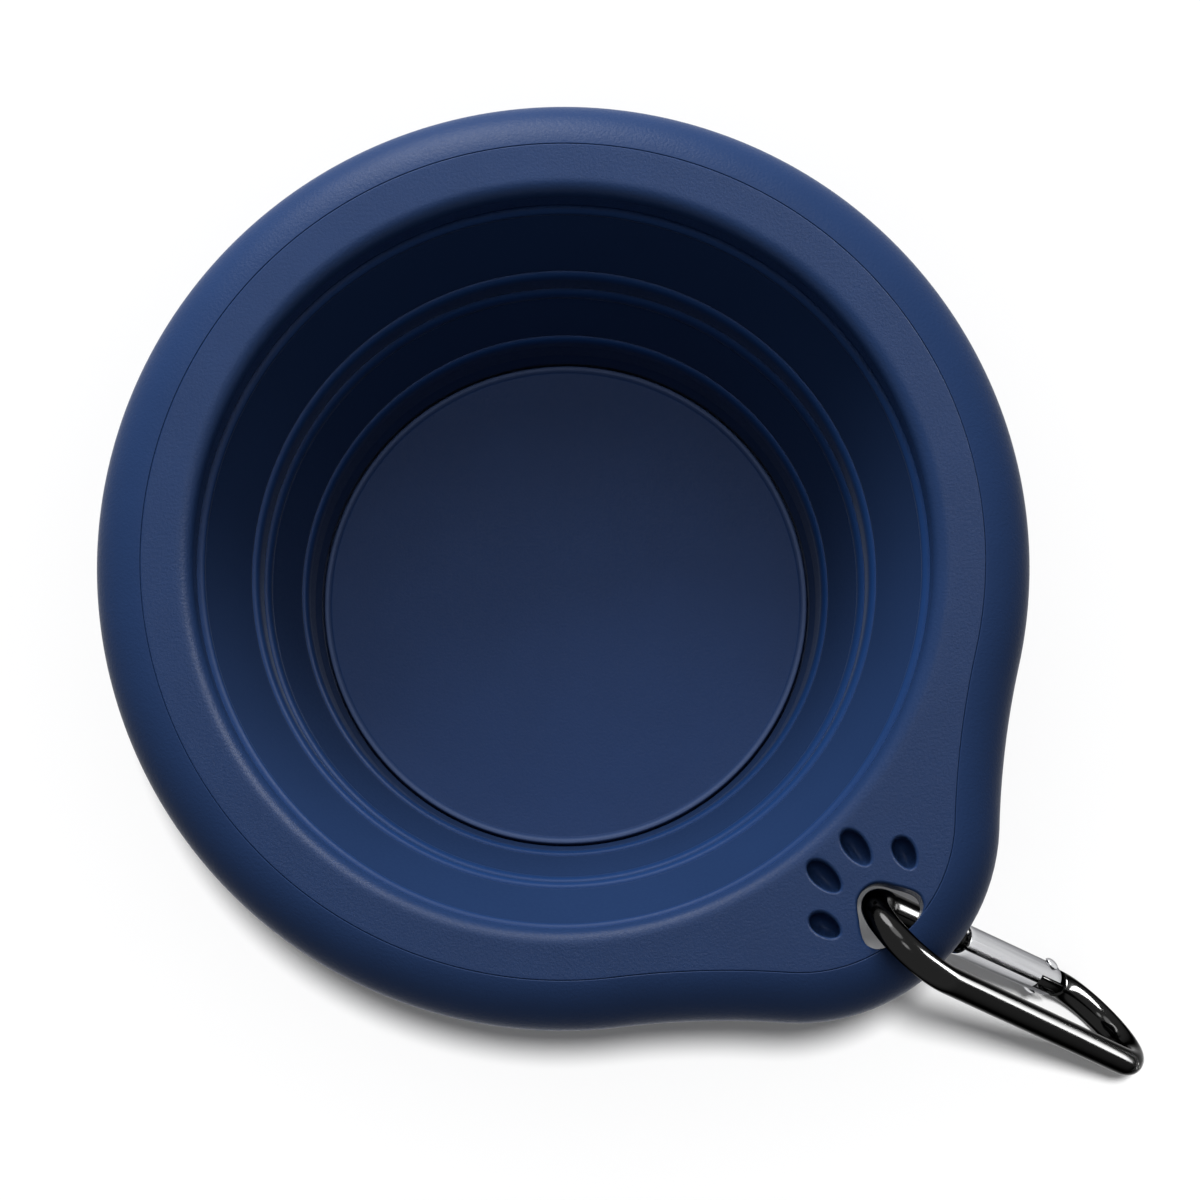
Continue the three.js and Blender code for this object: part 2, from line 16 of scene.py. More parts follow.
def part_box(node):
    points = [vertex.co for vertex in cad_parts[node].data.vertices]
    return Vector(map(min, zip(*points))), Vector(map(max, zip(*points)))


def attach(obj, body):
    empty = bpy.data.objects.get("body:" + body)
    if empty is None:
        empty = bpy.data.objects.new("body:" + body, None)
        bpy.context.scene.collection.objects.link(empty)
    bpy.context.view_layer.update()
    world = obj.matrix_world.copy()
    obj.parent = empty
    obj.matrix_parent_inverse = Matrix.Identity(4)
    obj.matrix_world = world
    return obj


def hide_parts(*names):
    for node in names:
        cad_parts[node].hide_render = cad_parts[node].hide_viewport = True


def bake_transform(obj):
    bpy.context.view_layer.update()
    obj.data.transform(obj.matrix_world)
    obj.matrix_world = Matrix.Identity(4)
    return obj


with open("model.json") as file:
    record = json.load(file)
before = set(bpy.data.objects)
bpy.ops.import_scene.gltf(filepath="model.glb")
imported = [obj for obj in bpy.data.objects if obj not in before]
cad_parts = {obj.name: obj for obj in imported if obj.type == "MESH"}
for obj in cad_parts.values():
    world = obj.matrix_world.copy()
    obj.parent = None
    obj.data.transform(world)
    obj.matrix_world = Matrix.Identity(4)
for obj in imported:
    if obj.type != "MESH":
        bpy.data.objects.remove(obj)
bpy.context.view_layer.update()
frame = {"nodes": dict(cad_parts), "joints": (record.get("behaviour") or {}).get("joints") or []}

bl_info = {
    "name": "Collapsible pet bowl",
    "version": (1, 0, 0),
    "blender": (4, 5, 0),
    "location": "3D View > Sidebar > Pet bowl",
    "description": "Builds a folding travel bowl with a paw tab and a snap clip round its frame",
    "category": "Mesh",
}

MM = 0.001
# Painted highlight: share of a paler colour that stands in for the light falling on the wall's
# ledges and the floor disc's bead
PAINTED_HIGHLIGHT_SHARE = "painted_ledge_highlight"  # share of the paler edge colour at each point of a piece

# Numbers of facets: round the bowl, the rim's outline and its edge, the paw, the clip
TURN_STEPS, OUTLINE_STEPS, BULL_STEPS = 192, 288, 14
PAD_STEPS, TOE_STEPS = 96, 56
ROD_SIDES, PIN_SIDES, TUBE_SIDES, TUBE_LENGTHS = 32, 40, 48, 18
WIRE_SIDES, WIRE_STEPS = 12, 24

# Angles in degrees past which edges stay sharp
CREASE, ROD_CREASE, TUBE_CREASE = 38.0, 32.0, 30.0

# Small distances in millimetres
WELD = 1e-4  # points this close become one
SLACK = 0.02  # how closely points match a level or a ledge
PAST_EDGE, PAST_FACE = 0.02, 1.0  # how far a tool stands past the edge or face that it cuts


# Measures taken from the frame


def points_of(node):
    """Distance from the bowl's axis and height of each point of a node, in millimetres"""
    vertices = frame["nodes"][node].data.vertices
    return [(math.hypot(v.co.x, v.co.y) / MM, v.co.z / MM) for v in vertices]


def outer_radius(node):
    return max(points_of(node))[0]


def inner_radius(node):
    return min(points_of(node))[0]


def heights(node):
    """Foot and top of a node, in millimetres"""
    return [corner[2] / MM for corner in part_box(node)]


def ring_end(node, upper):
    """Inner radius and height of a turned node's upper or lower end"""
    level = heights(node)[int(upper)]
    return min(r for r, z in points_of(node) if abs(z - level) < SLACK), level


# Settings that a user would change


def number(name, description, default, **kind):
    return FloatProperty(name=name, description=description, default=default, **kind)


def length(name, millimetres, description):
    """A length, given in millimetres and kept in metres"""
    kind = {"min": 0.0, "precision": 5, "subtype": "DISTANCE", "unit": "LENGTH"}
    return number(name, description, millimetres * MM, **kind)


def turn(name, degrees, description):
    """An angle, given in degrees and kept in radians"""
    return number(name, description, math.radians(degrees), subtype="ANGLE", unit="ROTATION")


def colour(name, rgb, description):
    """A colour in linear light"""
    kind = {"size": 4, "min": 0.0, "max": 1.0, "subtype": "COLOR"}
    return FloatVectorProperty(name=name, description=description, default=(*rgb, 1.0), **kind)


def amount(name, value, description):
    return number(name, description, value, min=0.0, subtype="FACTOR")


class PETBOWL_PG_bowl(bpy.types.PropertyGroup):
    """Sizes of the rim, the soft wall and the floor"""

    height: length("Height", heights("rim_cover")[1], "Standing height, foot to rim top")
    rim: length("Rim radius", 65, "Outer radius of the rim")
    thick: length("Rim thickness", 12, "Height of the rim")
    mouth: length("Mouth radius", inner_radius("rim_cover"), "Radius of the mouth")
    lip: length("Lip rounding", 2.4, "Rounding of the mouth's top edge")
    seam: length("Seam inset", 6.6, "How far the top seam runs inside the outline")
    gap: length("Seam gap", 0.012, "Width of the seam between the two rim shells")
    brink: length("Seam rounding", 0.16, "Rounding of the two edges along the seam")
    tilt: turn("Seam tilt", 13, "Slope of the rounded edge where it leaves the seam")
    shell: length("Shell", 2.1, "Wall of the moulded rim shells")
    fit: length("Fit", 0.3, "Gap between pieces that touch out of sight")
    crease: length("Crease", 0.06, "Gap at the fold lines of the soft wall")


class PETBOWL_PG_tab(bpy.types.PropertyGroup):
    """Sizes of the tab and its paw"""

    axis: turn("Direction", -48, "Direction of the tab, from +X")
    reach: length("Reach", 11.4, "How far the tab stands out from the rim")
    corner: length("Corner", 28, "Radius of the tab's rounded corner")
    blend: length("Blend", 120, "Radius of the hollow blends into the rim")
    thickness: length("Thickness", 7, "Thickness of the tab")
    paw_inset: length("Paw inset", 10.4, "Centre of the pad hole from the tab's tip")
    toe_depth: length("Toe depth", 3.6, "Depth of the toe recesses")
    edge_round: length("Edge rounding", 0.45, "Rounding of the paw's edges")


class PETBOWL_PG_clip(bpy.types.PropertyGroup):
    """Sizes of the snap clip"""

    rod: length("Rod", 4, "Rod diameter")
    near: length("Near bend", 7.65, "Centre line radius of the bend in the tab")
    far: length("Far bend", 8.25, "Centre line radius of the far bend")
    span: length("Span", 49, "Distance between the bend centres")
    outer: length("Gate diameter", 4.8, "Outer diameter of the gate tube")
    sheet: length("Gate sheet", 0.45, "Sheet thickness of the gate tube")
    start: length("Gate start", 19.8, "Nose end of the gate, along its side")
    gate: length("Gate length", 26.6, "Length of the gate tube")
    tongue: length("Tongue", 1.6, "Thickness of the flattened tongues")
    neck: length("Neck", 2.2, "Half-cut rod between the gate and the full rod")
    pin: length("Pin", 1.3, "Diameter of the hinge rivet and the catch pin")


class PETBOWL_PG_finish(bpy.types.PropertyGroup):
    """Colours of the finishes, in linear light"""

    rim: colour("Rim", (0.012, 0.029, 0.085), "Moulded plastic of the rim")
    wall: colour("Wall", (0.0090, 0.0240, 0.073), "Soft elastomer of the folding wall")
    # The next colour is a painted highlight on the wall's rolled ledges, where light from above
    # falls
    wall_painted_highlight: colour("Wall edges", (0.0065, 0.0295, 0.108), "Thin edges, which let light in")
    floor: colour("Floor disc", (0.0148, 0.0365, 0.110), "Moulded plastic of the floor disc")
    # The next colour is a painted highlight along the floor disc's bead
    floor_painted_highlight: colour("Floor edge", (0.055, 0.085, 0.18), "Rubbed bead round the floor disc")
    rod: colour("Rod", (0.016, 0.016, 0.016), "Black coat of the clip's rod")
    steel: colour("Gate", (0.62, 0.625, 0.64), "Bright plated sheet of the gate")


class PETBOWL_PG_stage(bpy.types.PropertyGroup):
    """Camera, floor and light"""

    aim: FloatVectorProperty(
        name="Aim", description="Point that the camera looks at", size=3,
        default=(0.00512, -0.00606, 0.052), subtype="TRANSLATION", unit="LENGTH",
    )
    elevation: turn("Elevation", 82.3, "Camera height above the horizon")
    distance: length("Distance", 600, "Camera distance from its aim")
    frame_angle: turn("Field of view", 15.70, "Angle across the square picture")
    paper: colour("Paper", (0.90, 0.90, 0.90), "Pale sheet that the bowl stands on")
    bounce: amount("Bounce", 0.35, "Share of the paper's light that reaches the bowl")
    key: amount("Key", 3.8, "Power of the softbox behind the bowl, in watts")
    low: amount("Low light", 4.2, "Power of the low strip behind the bowl, in watts")
    top: amount("Top light", 1.5, "Power of the softbox over the bowl, in watts")
    gloss: amount("Gloss light", 12.5, "Power of the softbox that edges mirror, in watts")
    sun: amount("Sun", 2.85, "Even light over the paper, in watts per square metre")
    haze: amount("Haze", 0.4, "Wide light over the paper, in watts per square metre")
    glint: amount("Glint", 2.3, "Power of the small strip beside the clip, in watts")
    ambient: amount("Ambient", 0.13, "Strength of the light from all round")


class Millimetres:
    """Reads the lengths of a settings group in millimetres"""

    def __init__(self, group):
        self.group = group

    def __getattr__(self, name):
        return getattr(self.group, name) / MM


# Mesh building


def mix(a, b, t):
    """The value a share t of the way from a to b"""
    return a + (b - a) * t


def quarter(steps):
    """Angles of a quarter turn, its start left out"""
    return [math.pi / 2 * (k + 1) / steps for k in range(steps)]


def circle(count):
    """Cosine and sine of even steps round a full turn"""
    angles = (2 * math.pi * k / count for k in range(count))
    return [(math.cos(a), math.sin(a)) for a in angles]


def heading(angle):
    """Unit vector at a polar angle"""
    return Vector((math.cos(angle), math.sin(angle)))


def loft(rings, closed=False):
    """Mesh through rings of points in millimetres; the ends are capped unless the loft closes"""
    mesh = bmesh.new()
    rows = [[mesh.verts.new(Vector(p) * MM) for p in ring] for ring in rings]
    count = len(rows[0])
    pairs = list(zip(rows, rows[1:]))
    if closed:
        pairs.append((rows[-1], rows[0]))
    for a, b in pairs:
        for k in range(count):
            n = (k + 1) % count
            mesh.faces.new((a[k], a[n], b[n], b[k]))
    if not closed:
        mesh.faces.new(rows[0])
        mesh.faces.new(rows[-1])
    return mesh


def finished(name, mesh, material=None):
    """Object from a closed mesh, smooth except at its sharp edges"""
    bmesh.ops.remove_doubles(mesh, verts=mesh.verts, dist=WELD * MM)
    bmesh.ops.recalc_face_normals(mesh, faces=mesh.faces)
    data = bpy.data.meshes.new(name)
    mesh.to_mesh(data)
    mesh.free()
    piece = bpy.data.objects.new(name, data)
    bpy.context.scene.collection.objects.link(piece)
    if material is not None:
        data.materials.append(material)
    smooth(data, CREASE)
    return piece


def smooth(data, crease):
    data.shade_smooth()
    data.set_sharp_from_angle(angle=math.radians(crease))


def joined(piece, tools, operation, crease=CREASE):
    """Cuts or joins closed tools to a piece and removes them"""
    for tool in tools:
        step = piece.modifiers.new(tool.name, "BOOLEAN")
        step.operation = operation
        step.solver = "EXACT"
        step.object = tool
    settled(piece)
    for tool in tools:
        data = tool.data
        bpy.data.objects.remove(tool)
        bpy.data.meshes.remove(data)
    smooth(piece.data, crease)


def settled(piece):
    """Makes a piece's modifiers part of its mesh"""
    graph = bpy.context.evaluated_depsgraph_get()
    data = bpy.data.meshes.new_from_object(piece.evaluated_get(graph))
    old = piece.data
    piece.modifiers.clear()
    piece.data = data
    bpy.data.meshes.remove(old)


def even_normals(piece):
    """Keeps wide flat faces flat beside small roundings"""
    step = piece.modifiers.new("flat faces stay flat", "WEIGHTED_NORMAL")
    step.keep_sharp = True
    step.weight = 90


def rounded(corners, steps=5, edge_share=0.48):
    """Closed section of (r, z) points from corners (r, z, radius); a rounding takes up no more
    than a share of either edge"""
    points = []
    for i, (r, z, radius) in enumerate(corners):
        if radius == 0:
            points.append((r, z))
            continue
        here = Vector((r, z))
        sides = (corners[n % len(corners)] for n in (i - 1, i + 1))
        back, ahead = (Vector(corner[:2]) - here for corner in sides)
        half = back.angle(ahead) / 2
        reach = min(radius / math.tan(half), edge_share * back.length, edge_share * ahead.length)
        to_back, to_ahead = back.normalized(), ahead.normalized()
        start, end = here + to_back * reach, here + to_ahead * reach
        middle = here + (to_back + to_ahead).normalized() * (reach / math.cos(half))
        first, last = (math.atan2(p.y - middle.y, p.x - middle.x) for p in (start, end))
        sweep = (last - first + math.pi) % (2 * math.pi) - math.pi
        size = (start - middle).length
        for k in range(steps + 1):
            a = first + sweep * k / steps
            points.append((middle.x + size * math.cos(a), middle.y + size * math.sin(a)))
    return points


def ledge(start, end, steps=8):
    """Rounded ledge of a ring: level at its start, upright at its end"""
    (r, z), (r_end, z_end) = start, end
    angles = [0.0, *quarter(steps)]
    return [(mix(r, r_end, math.sin(t)), mix(z_end, z, math.cos(t)), 0) for t in angles]


def revolved(name, section, material):
    """Piece turned about the bowl's axis from a closed (r, z) section"""
    rings = [[(r * c, r * s, z) for r, z in section] for c, s in circle(TURN_STEPS)]
    return finished(name, loft(rings, closed=True), material)


def paint_ledge_highlight(piece, ledges):
    """Paints a highlight onto a ring's rolled ledges: full at their level start, where light from
    above falls, and fading to their upright end
    """
    shares = piece.data.attributes.new(PAINTED_HIGHLIGHT_SHARE, "FLOAT", "POINT")
    for vertex in piece.data.vertices:
        r, z = math.hypot(vertex.co.x, vertex.co.y) / MM, vertex.co.z / MM
        for (r_start, z_start), (r_end, z_end) in ledges:
            if r_end - SLACK < r < r_start + SLACK and z_end - SLACK < z < z_start + SLACK:
                share = (z - z_end) / (z_start - z_end)
                shares.data[vertex.index].value = min(1.0, max(0.0, share))
    return piece


def subdivided(corners, longest):
    """Corners with more points along each edge longer than a given length"""
    points = []
    for i, (r, z, radius) in enumerate(corners):
        points.append((r, z, radius))
        r_next, z_next = corners[(i + 1) % len(corners)][:2]
        pieces = max(1, round(math.hypot(r_next - r, z_next - z) / longest))
        for k in range(1, pieces):
            points.append((mix(r, r_next, k / pieces), mix(z, z_next, k / pieces), 0))
    return points


# Finishes

RIM_GRAIN = {"roughness": 0.36, "specular": 0.07, "grain": 0.4, "relief": 0.1}
FLOOR_GRAIN = {"roughness": 0.5, "specular": 0.09, "grain": 0.4, "relief": 0.07}
NOISE_LOW, NOISE_HIGH = 0.3, 0.7  # limits of most of a noise's values


def add_node(tree, kind, values=None, **settings):
    """New shader node with its settings, and with values or links for its sockets"""
    made = tree.nodes.new(kind)
    for key, value in settings.items():
        setattr(made, key, value)
    feed(tree, made, values or {})
    return made


def feed(tree, node, values):
    """Sets a node's sockets, or links them where a value is the output of another node"""
    for key, value in values.items():
        if isinstance(value, bpy.types.NodeSocket):
            tree.links.new(value, node.inputs[key])
        else:
            node.inputs[key].default_value = value


def new_finish(name, roughness, specular):
    """Material with its node tree, its shader and object coordinates"""
    material = bpy.data.materials.new(name)
    material.use_nodes = True
    tree = material.node_tree
    shader = tree.nodes["Principled BSDF"]
    feed(tree, shader, {"Roughness": roughness, "Specular IOR Level": specular})
    return material, tree, shader, add_node(tree, "ShaderNodeTexCoord").outputs["Object"]


def noise(tree, where, size, detail, roughness=0.5):
    """Noise whose grains are about a size in millimetres"""
    scale = 1 / (size * MM)
    values = {"Vector": where, "Scale": scale, "Detail": detail, "Roughness": roughness}
    return add_node(tree, "ShaderNodeTexNoise", values).outputs["Fac"]


def spread(tree, value, low, high):
    """A noise value spread between two limits"""
    values = {"Value": value, "From Min": NOISE_LOW, "From Max": NOISE_HIGH}
    values |= {"To Min": low, "To Max": high}
    return add_node(tree, "ShaderNodeMapRange", values).outputs["Result"]


def blended(tree, first, second, share):
    """A colour that goes from a first to a second one by a varying share"""
    values = {"A": first, "B": second, "Factor": share}
    return add_node(tree, "ShaderNodeMix", values, data_type="RGBA").outputs["Result"]


def with_painted_highlight(tree, body, highlight_rgba):
    """A colour that turns to a painted-highlight colour where the piece's edges are marked"""
    marked = add_node(tree, "ShaderNodeAttribute", attribute_name=PAINTED_HIGHLIGHT_SHARE)
    return blended(tree, body, highlight_rgba, marked.outputs["Fac"])


def toned(rgba, factor):
    """A colour made lighter or darker"""
    return (*(min(1.0, c * factor) for c in rgba[:3]), 1.0)


def bump(tree, height, depth, strength):
    """Relief of a height value, with its depth in millimetres"""
    values = {"Height": height, "Distance": depth * MM, "Strength": strength}
    return add_node(tree, "ShaderNodeBump", values).outputs["Normal"]


def moulded_plastic(name, rgba, highlight_rgba, roughness, specular, grain, relief):
    """Spark-grained moulded plastic: fine grain, a faint flow mottle and a painted highlight on
    marked edges
    """
    material, tree, shader, where = new_finish(name, roughness, specular)
    mottle = noise(tree, where, size=9.0, detail=3.0)
    fine = noise(tree, where, size=grain, detail=4.0, roughness=0.62)
    body = blended(tree, toned(rgba, 0.92), toned(rgba, 1.08), mottle)
    feed(tree, shader, {
        "Base Color": with_painted_highlight(tree, body, highlight_rgba),
        "Roughness": spread(tree, fine, roughness - 0.06, roughness + 0.06),
        "Normal": bump(tree, fine, depth=relief, strength=0.6),
    })
    return material


def soft_elastomer(name, rgba, highlight_rgba):
    """Smooth soft-touch elastomer: even colour, a painted highlight on its marked ledges, silky
    sheen and a fine skin
    """
    material, tree, shader, where = new_finish(name, roughness=0.42, specular=0.06)
    mottle = noise(tree, where, size=14.0, detail=2.0)
    skin = noise(tree, where, size=0.5, detail=3.0)
    body = blended(tree, toned(rgba, 0.93), toned(rgba, 1.07), mottle)
    feed(tree, shader, {
        "Base Color": with_painted_highlight(tree, body, highlight_rgba),
        "Sheen Weight": 0.05,
        "Sheen Roughness": 0.4,
        "Sheen Tint": (0.7, 0.8, 1.0, 1.0),
        "Roughness": spread(tree, skin, 0.38, 0.47),
        "Normal": bump(tree, skin, depth=0.012, strength=0.4),
    })
    return material


def along_clip(tree, where, stretch):
    """Coordinates turned to the clip and drawn out along it"""
    turned = ClipLayout(bpy.context.scene.petbowl_clip).place().to_euler()
    values = {"Vector": where, "Rotation": turned, "Scale": (stretch, 1.0, 1.0)}
    return add_node(tree, "ShaderNodeMapping", values, vector_type="TEXTURE").outputs["Vector"]


def gloss_black(name, rgba):
    """Gloss black coat on bent rod, dark at a slant, with faint draw lines along it"""
    material, tree, shader, where = new_finish(name, roughness=0.12, specular=0.5)
    drawn = noise(tree, along_clip(tree, where, stretch=16), size=0.35, detail=3.0)
    feed(tree, shader, {
        "Base Color": rgba,
        "Metallic": 1.0,
        "Specular Tint": (0.4, 0.4, 0.4, 1.0),
        "Roughness": spread(tree, drawn, 0.1, 0.16),
        "Normal": bump(tree, drawn, depth=0.004, strength=0.3),
    })
    return material


def plated_steel(name, rgba):
    """Bright plated sheet with polish lines along the tube"""
    material, tree, shader, where = new_finish(name, roughness=0.2, specular=0.5)
    polish = noise(tree, along_clip(tree, where, stretch=40), size=0.5, detail=4.0, roughness=0.6)
    feed(tree, shader, {
        "Base Color": blended(tree, toned(rgba, 0.72), toned(rgba, 1.3), polish),
        "Metallic": 1.0,
        "Specular Tint": (0.22, 0.22, 0.23, 1.0),
        "Roughness": spread(tree, polish, 0.16, 0.3),
        "Normal": bump(tree, polish, depth=0.01, strength=0.35),
    })
    return material


def finish_of(name):
    """The finish with a name, made on its first use"""
    if name in bpy.data.materials:
        return bpy.data.materials[name]
    looks = bpy.context.scene.petbowl_finish
    recipes = {
        "rim_plastic_fine": (moulded_plastic, (looks.rim, looks.rim), RIM_GRAIN),
        # the floor finish paints a highlight colour onto its marked bead
        "floor_plastic_fine": (moulded_plastic, (looks.floor, looks.floor_painted_highlight), FLOOR_GRAIN),
        # the wall finish paints a highlight colour onto its marked ledges
        "wall_elastomer": (soft_elastomer, (looks.wall, looks.wall_painted_highlight), {}),
        "rod_black": (gloss_black, (looks.rod,), {}),
        "gate_plated": (plated_steel, (looks.steel,), {}),
    }
    make, colours, values = recipes[name]
    return make(name, *(rgba[:] for rgba in colours), **values)


def lit_by(lamp):
    """The collection of objects that a lamp lights"""
    name = f"lit by the {lamp}"
    return bpy.data.collections.get(name) or bpy.data.collections.new(name)


def dressed(piece, node, slot):
    """The piece stands for a CAD node, which it hides, and is lit by the softboxes; the rim face
    and soft wall slots also take the gloss softbox
    """
    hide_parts(node)
    lit_by("softboxes").objects.link(piece)
    if slot in ("rim_face_plastic", "soft_wall"):
        lit_by("gloss softbox").objects.link(piece)
    return piece


# Stage

FLOOR_HALF = 1.5  # half the paper's side, in metres
FLOOR_DROP = 0.1  # how far the paper lies below the foot, in millimetres
SUN_AT = (0.04, 0.10, 2.8)
STRIP_AT, STRIP_WIDE, STRIP_LONG = (0.1349, -0.0272, 0.0429), 0.027, 0.19
STRIP_FACING, STRIP_SIDE = (0.87, 0.11, -0.475), (-0.41, 0.79, -0.46)


def add_camera(scene, stage):
    lens = bpy.data.cameras.new("view")
    lens.sensor_fit = "HORIZONTAL"
    lens.sensor_width = 36
    lens.lens = lens.sensor_width / 2 / math.tan(stage.frame_angle / 2)
    camera = bpy.data.objects.new("view", lens)
    scene.collection.objects.link(camera)
    back = Vector((0, -math.cos(stage.elevation), math.sin(stage.elevation)))
    camera.location = Vector(stage.aim) + stage.distance * back
    camera.rotation_euler = back.to_track_quat("Z", "Y").to_euler()
    scene.camera = camera


def seen_directly(tree):
    """1 for what the camera, a mirror or glass sees, 0 for the light that falls on a piece"""
    path = add_node(tree, "ShaderNodeLightPath").outputs
    shown = path["Is Camera Ray"]
    for other in ("Is Glossy Ray", "Is Transmission Ray"):
        either = add_node(tree, "ShaderNodeMath", {0: shown, 1: path[other]}, operation="MAXIMUM")
        shown = either.outputs["Value"]
    return shown


def add_floor(stage):
    mesh = bmesh.new()
    bmesh.ops.create_grid(mesh, x_segments=1, y_segments=1, size=FLOOR_HALF)
    paper = bpy.data.materials.new("studio_paper")
    paper.use_nodes = True
    tree = paper.node_tree
    tree.nodes.clear()
    dim = toned(stage.paper, stage.bounce)
    shade = blended(tree, dim, stage.paper[:], seen_directly(tree))
    plain = add_node(tree, "ShaderNodeBsdfDiffuse", {"Color": shade})
    add_node(tree, "ShaderNodeOutputMaterial", {"Surface": plain.outputs["BSDF"]})
    floor = finished("studio_floor", mesh, paper)
    floor.location.z = -FLOOR_DROP * MM
    lit_by("paper suns").objects.link(floor)


def light_world(scene, stage):
    world = bpy.data.worlds.new("studio")
    world.use_nodes = True
    tree = world.node_tree
    values = {"A": stage.ambient, "B": 1.0, "Factor": seen_directly(tree)}
    strength = add_node(tree, "ShaderNodeMix", values, data_type="FLOAT").outputs["Result"]
    feed(tree, tree.nodes["Background"], {"Color": (1, 1, 1, 1), "Strength": strength})
    scene.world = world


def hang(name, lamp, place, lit):
    """A lamp that points at the bowl's foot and lights one collection"""
    light = bpy.data.objects.new(name, lamp)
    bpy.context.scene.collection.objects.link(light)
    light.location = place
    light.rotation_euler = Vector(place).to_track_quat("Z", "Y").to_euler()
    light.visible_camera = False
    light.light_linking.receiver_collection = lit
    return light


def add_light(name, power, size, place, lit):
    """A round softbox, its size and place in metres"""
    lamp = bpy.data.lights.new(name, "AREA")
    lamp.shape = "DISK"
    lamp.size = size
    lamp.energy = power
    return hang(name, lamp, place, lit)


def add_sun(name, strength, wide):
    """Even light on the paper alone, as soft as a lamp that is seen so many degrees wide"""
    sun = bpy.data.lights.new(name, "SUN")
    sun.energy = strength
    sun.angle = math.radians(wide)
    hang(name, sun, SUN_AT, lit_by("paper suns"))


def add_glint(stage):
    """Strip beside the clip, whose reflection runs along the rod; only the rod stops its light"""
    rod = lit_by("clip strip")
    strip = add_light("clip_strip", stage.glint, STRIP_WIDE, STRIP_AT, rod)
    strip.light_linking.blocker_collection = rod
    strip.data.shape = "RECTANGLE"
    strip.data.size_y = STRIP_LONG
    facing = Vector(STRIP_FACING).normalized()
    along = facing.cross(Vector(STRIP_SIDE)).normalized()
    across = along.cross(facing)
    strip.rotation_euler = Matrix((across, along, facing)).transposed().to_euler()


class PETBOWL_OT_stage(bpy.types.Operator):
    """Set up the camera, the pale floor and the soft light"""

    bl_idname = "petbowl.stage"
    bl_label = "Stage"

    def execute(self, context):
        scene = context.scene
        stage = scene.petbowl_stage
        scene.view_settings.view_transform = "Standard"
        add_camera(scene, stage)
        add_floor(stage)
        light_world(scene, stage)
        pieces = lit_by("softboxes")
        add_light("back_softbox", stage.key, 0.5, (-0.06, 0.60, 0.72), pieces)
        add_light("low_strip", stage.low, 0.3, (-0.10, 0.45, 0.26), pieces)
        add_light("top_softbox", stage.top, 0.25, (0.0, 0.12, 0.9), pieces)
        edges = lit_by("gloss softbox")
        shine = add_light("gloss_softbox", stage.gloss, 0.45, (0.40, 0.40, 0.50), edges)
        shine.visible_diffuse = False
        add_sun("paper_sun", stage.sun, 6.1)
        add_sun("paper_haze", stage.haze, 115.0)
        add_glint(stage)
        return {"FINISHED"}


# Rim, in millimetres

TAB_RAMP = 0.38  # share of the tab's reach over which the rim's section changes
NUDGE = 1e-3  # half the turn between two points that give a direction, in radians
LEDGE, LEDGE_REACH = 1.7, 2  # thickness of the ledge under the seam, and its reach past it
SKIRT, SKIRT_SHARE = 2, 0.6  # wall of the skirt on the soft wall, and its share of the rim
FLANGE, FLANGE_ROUND = 1.3, 0.7  # step from the mouth to the lower shell, and its rounding
STEP_IN, STEP_OUT = 6.0, 4.5  # step under the rim from the flange, under the tab from the outline
TAB_ROUND = 1.8  # rounding of the tab's lower edge
SEAM_DROP = 0.01  # how far the lower shell's seam edge lies below the top face
SLEEVE, SLEEVE_SINK = 1.3, 0.5  # wall round the pad hole, and how far it ends inside the tab
CUP, CUP_SINK = 0.9, 0.5  # wall round a toe, and how far it starts inside the top face
TOE_BOWL, TOE_TIP = 2.2, 0.06  # height of a toe's round bottom, and the share at its deepest
TOE_EGG = 0.13  # how much wider than an ellipse a toe is at its far end


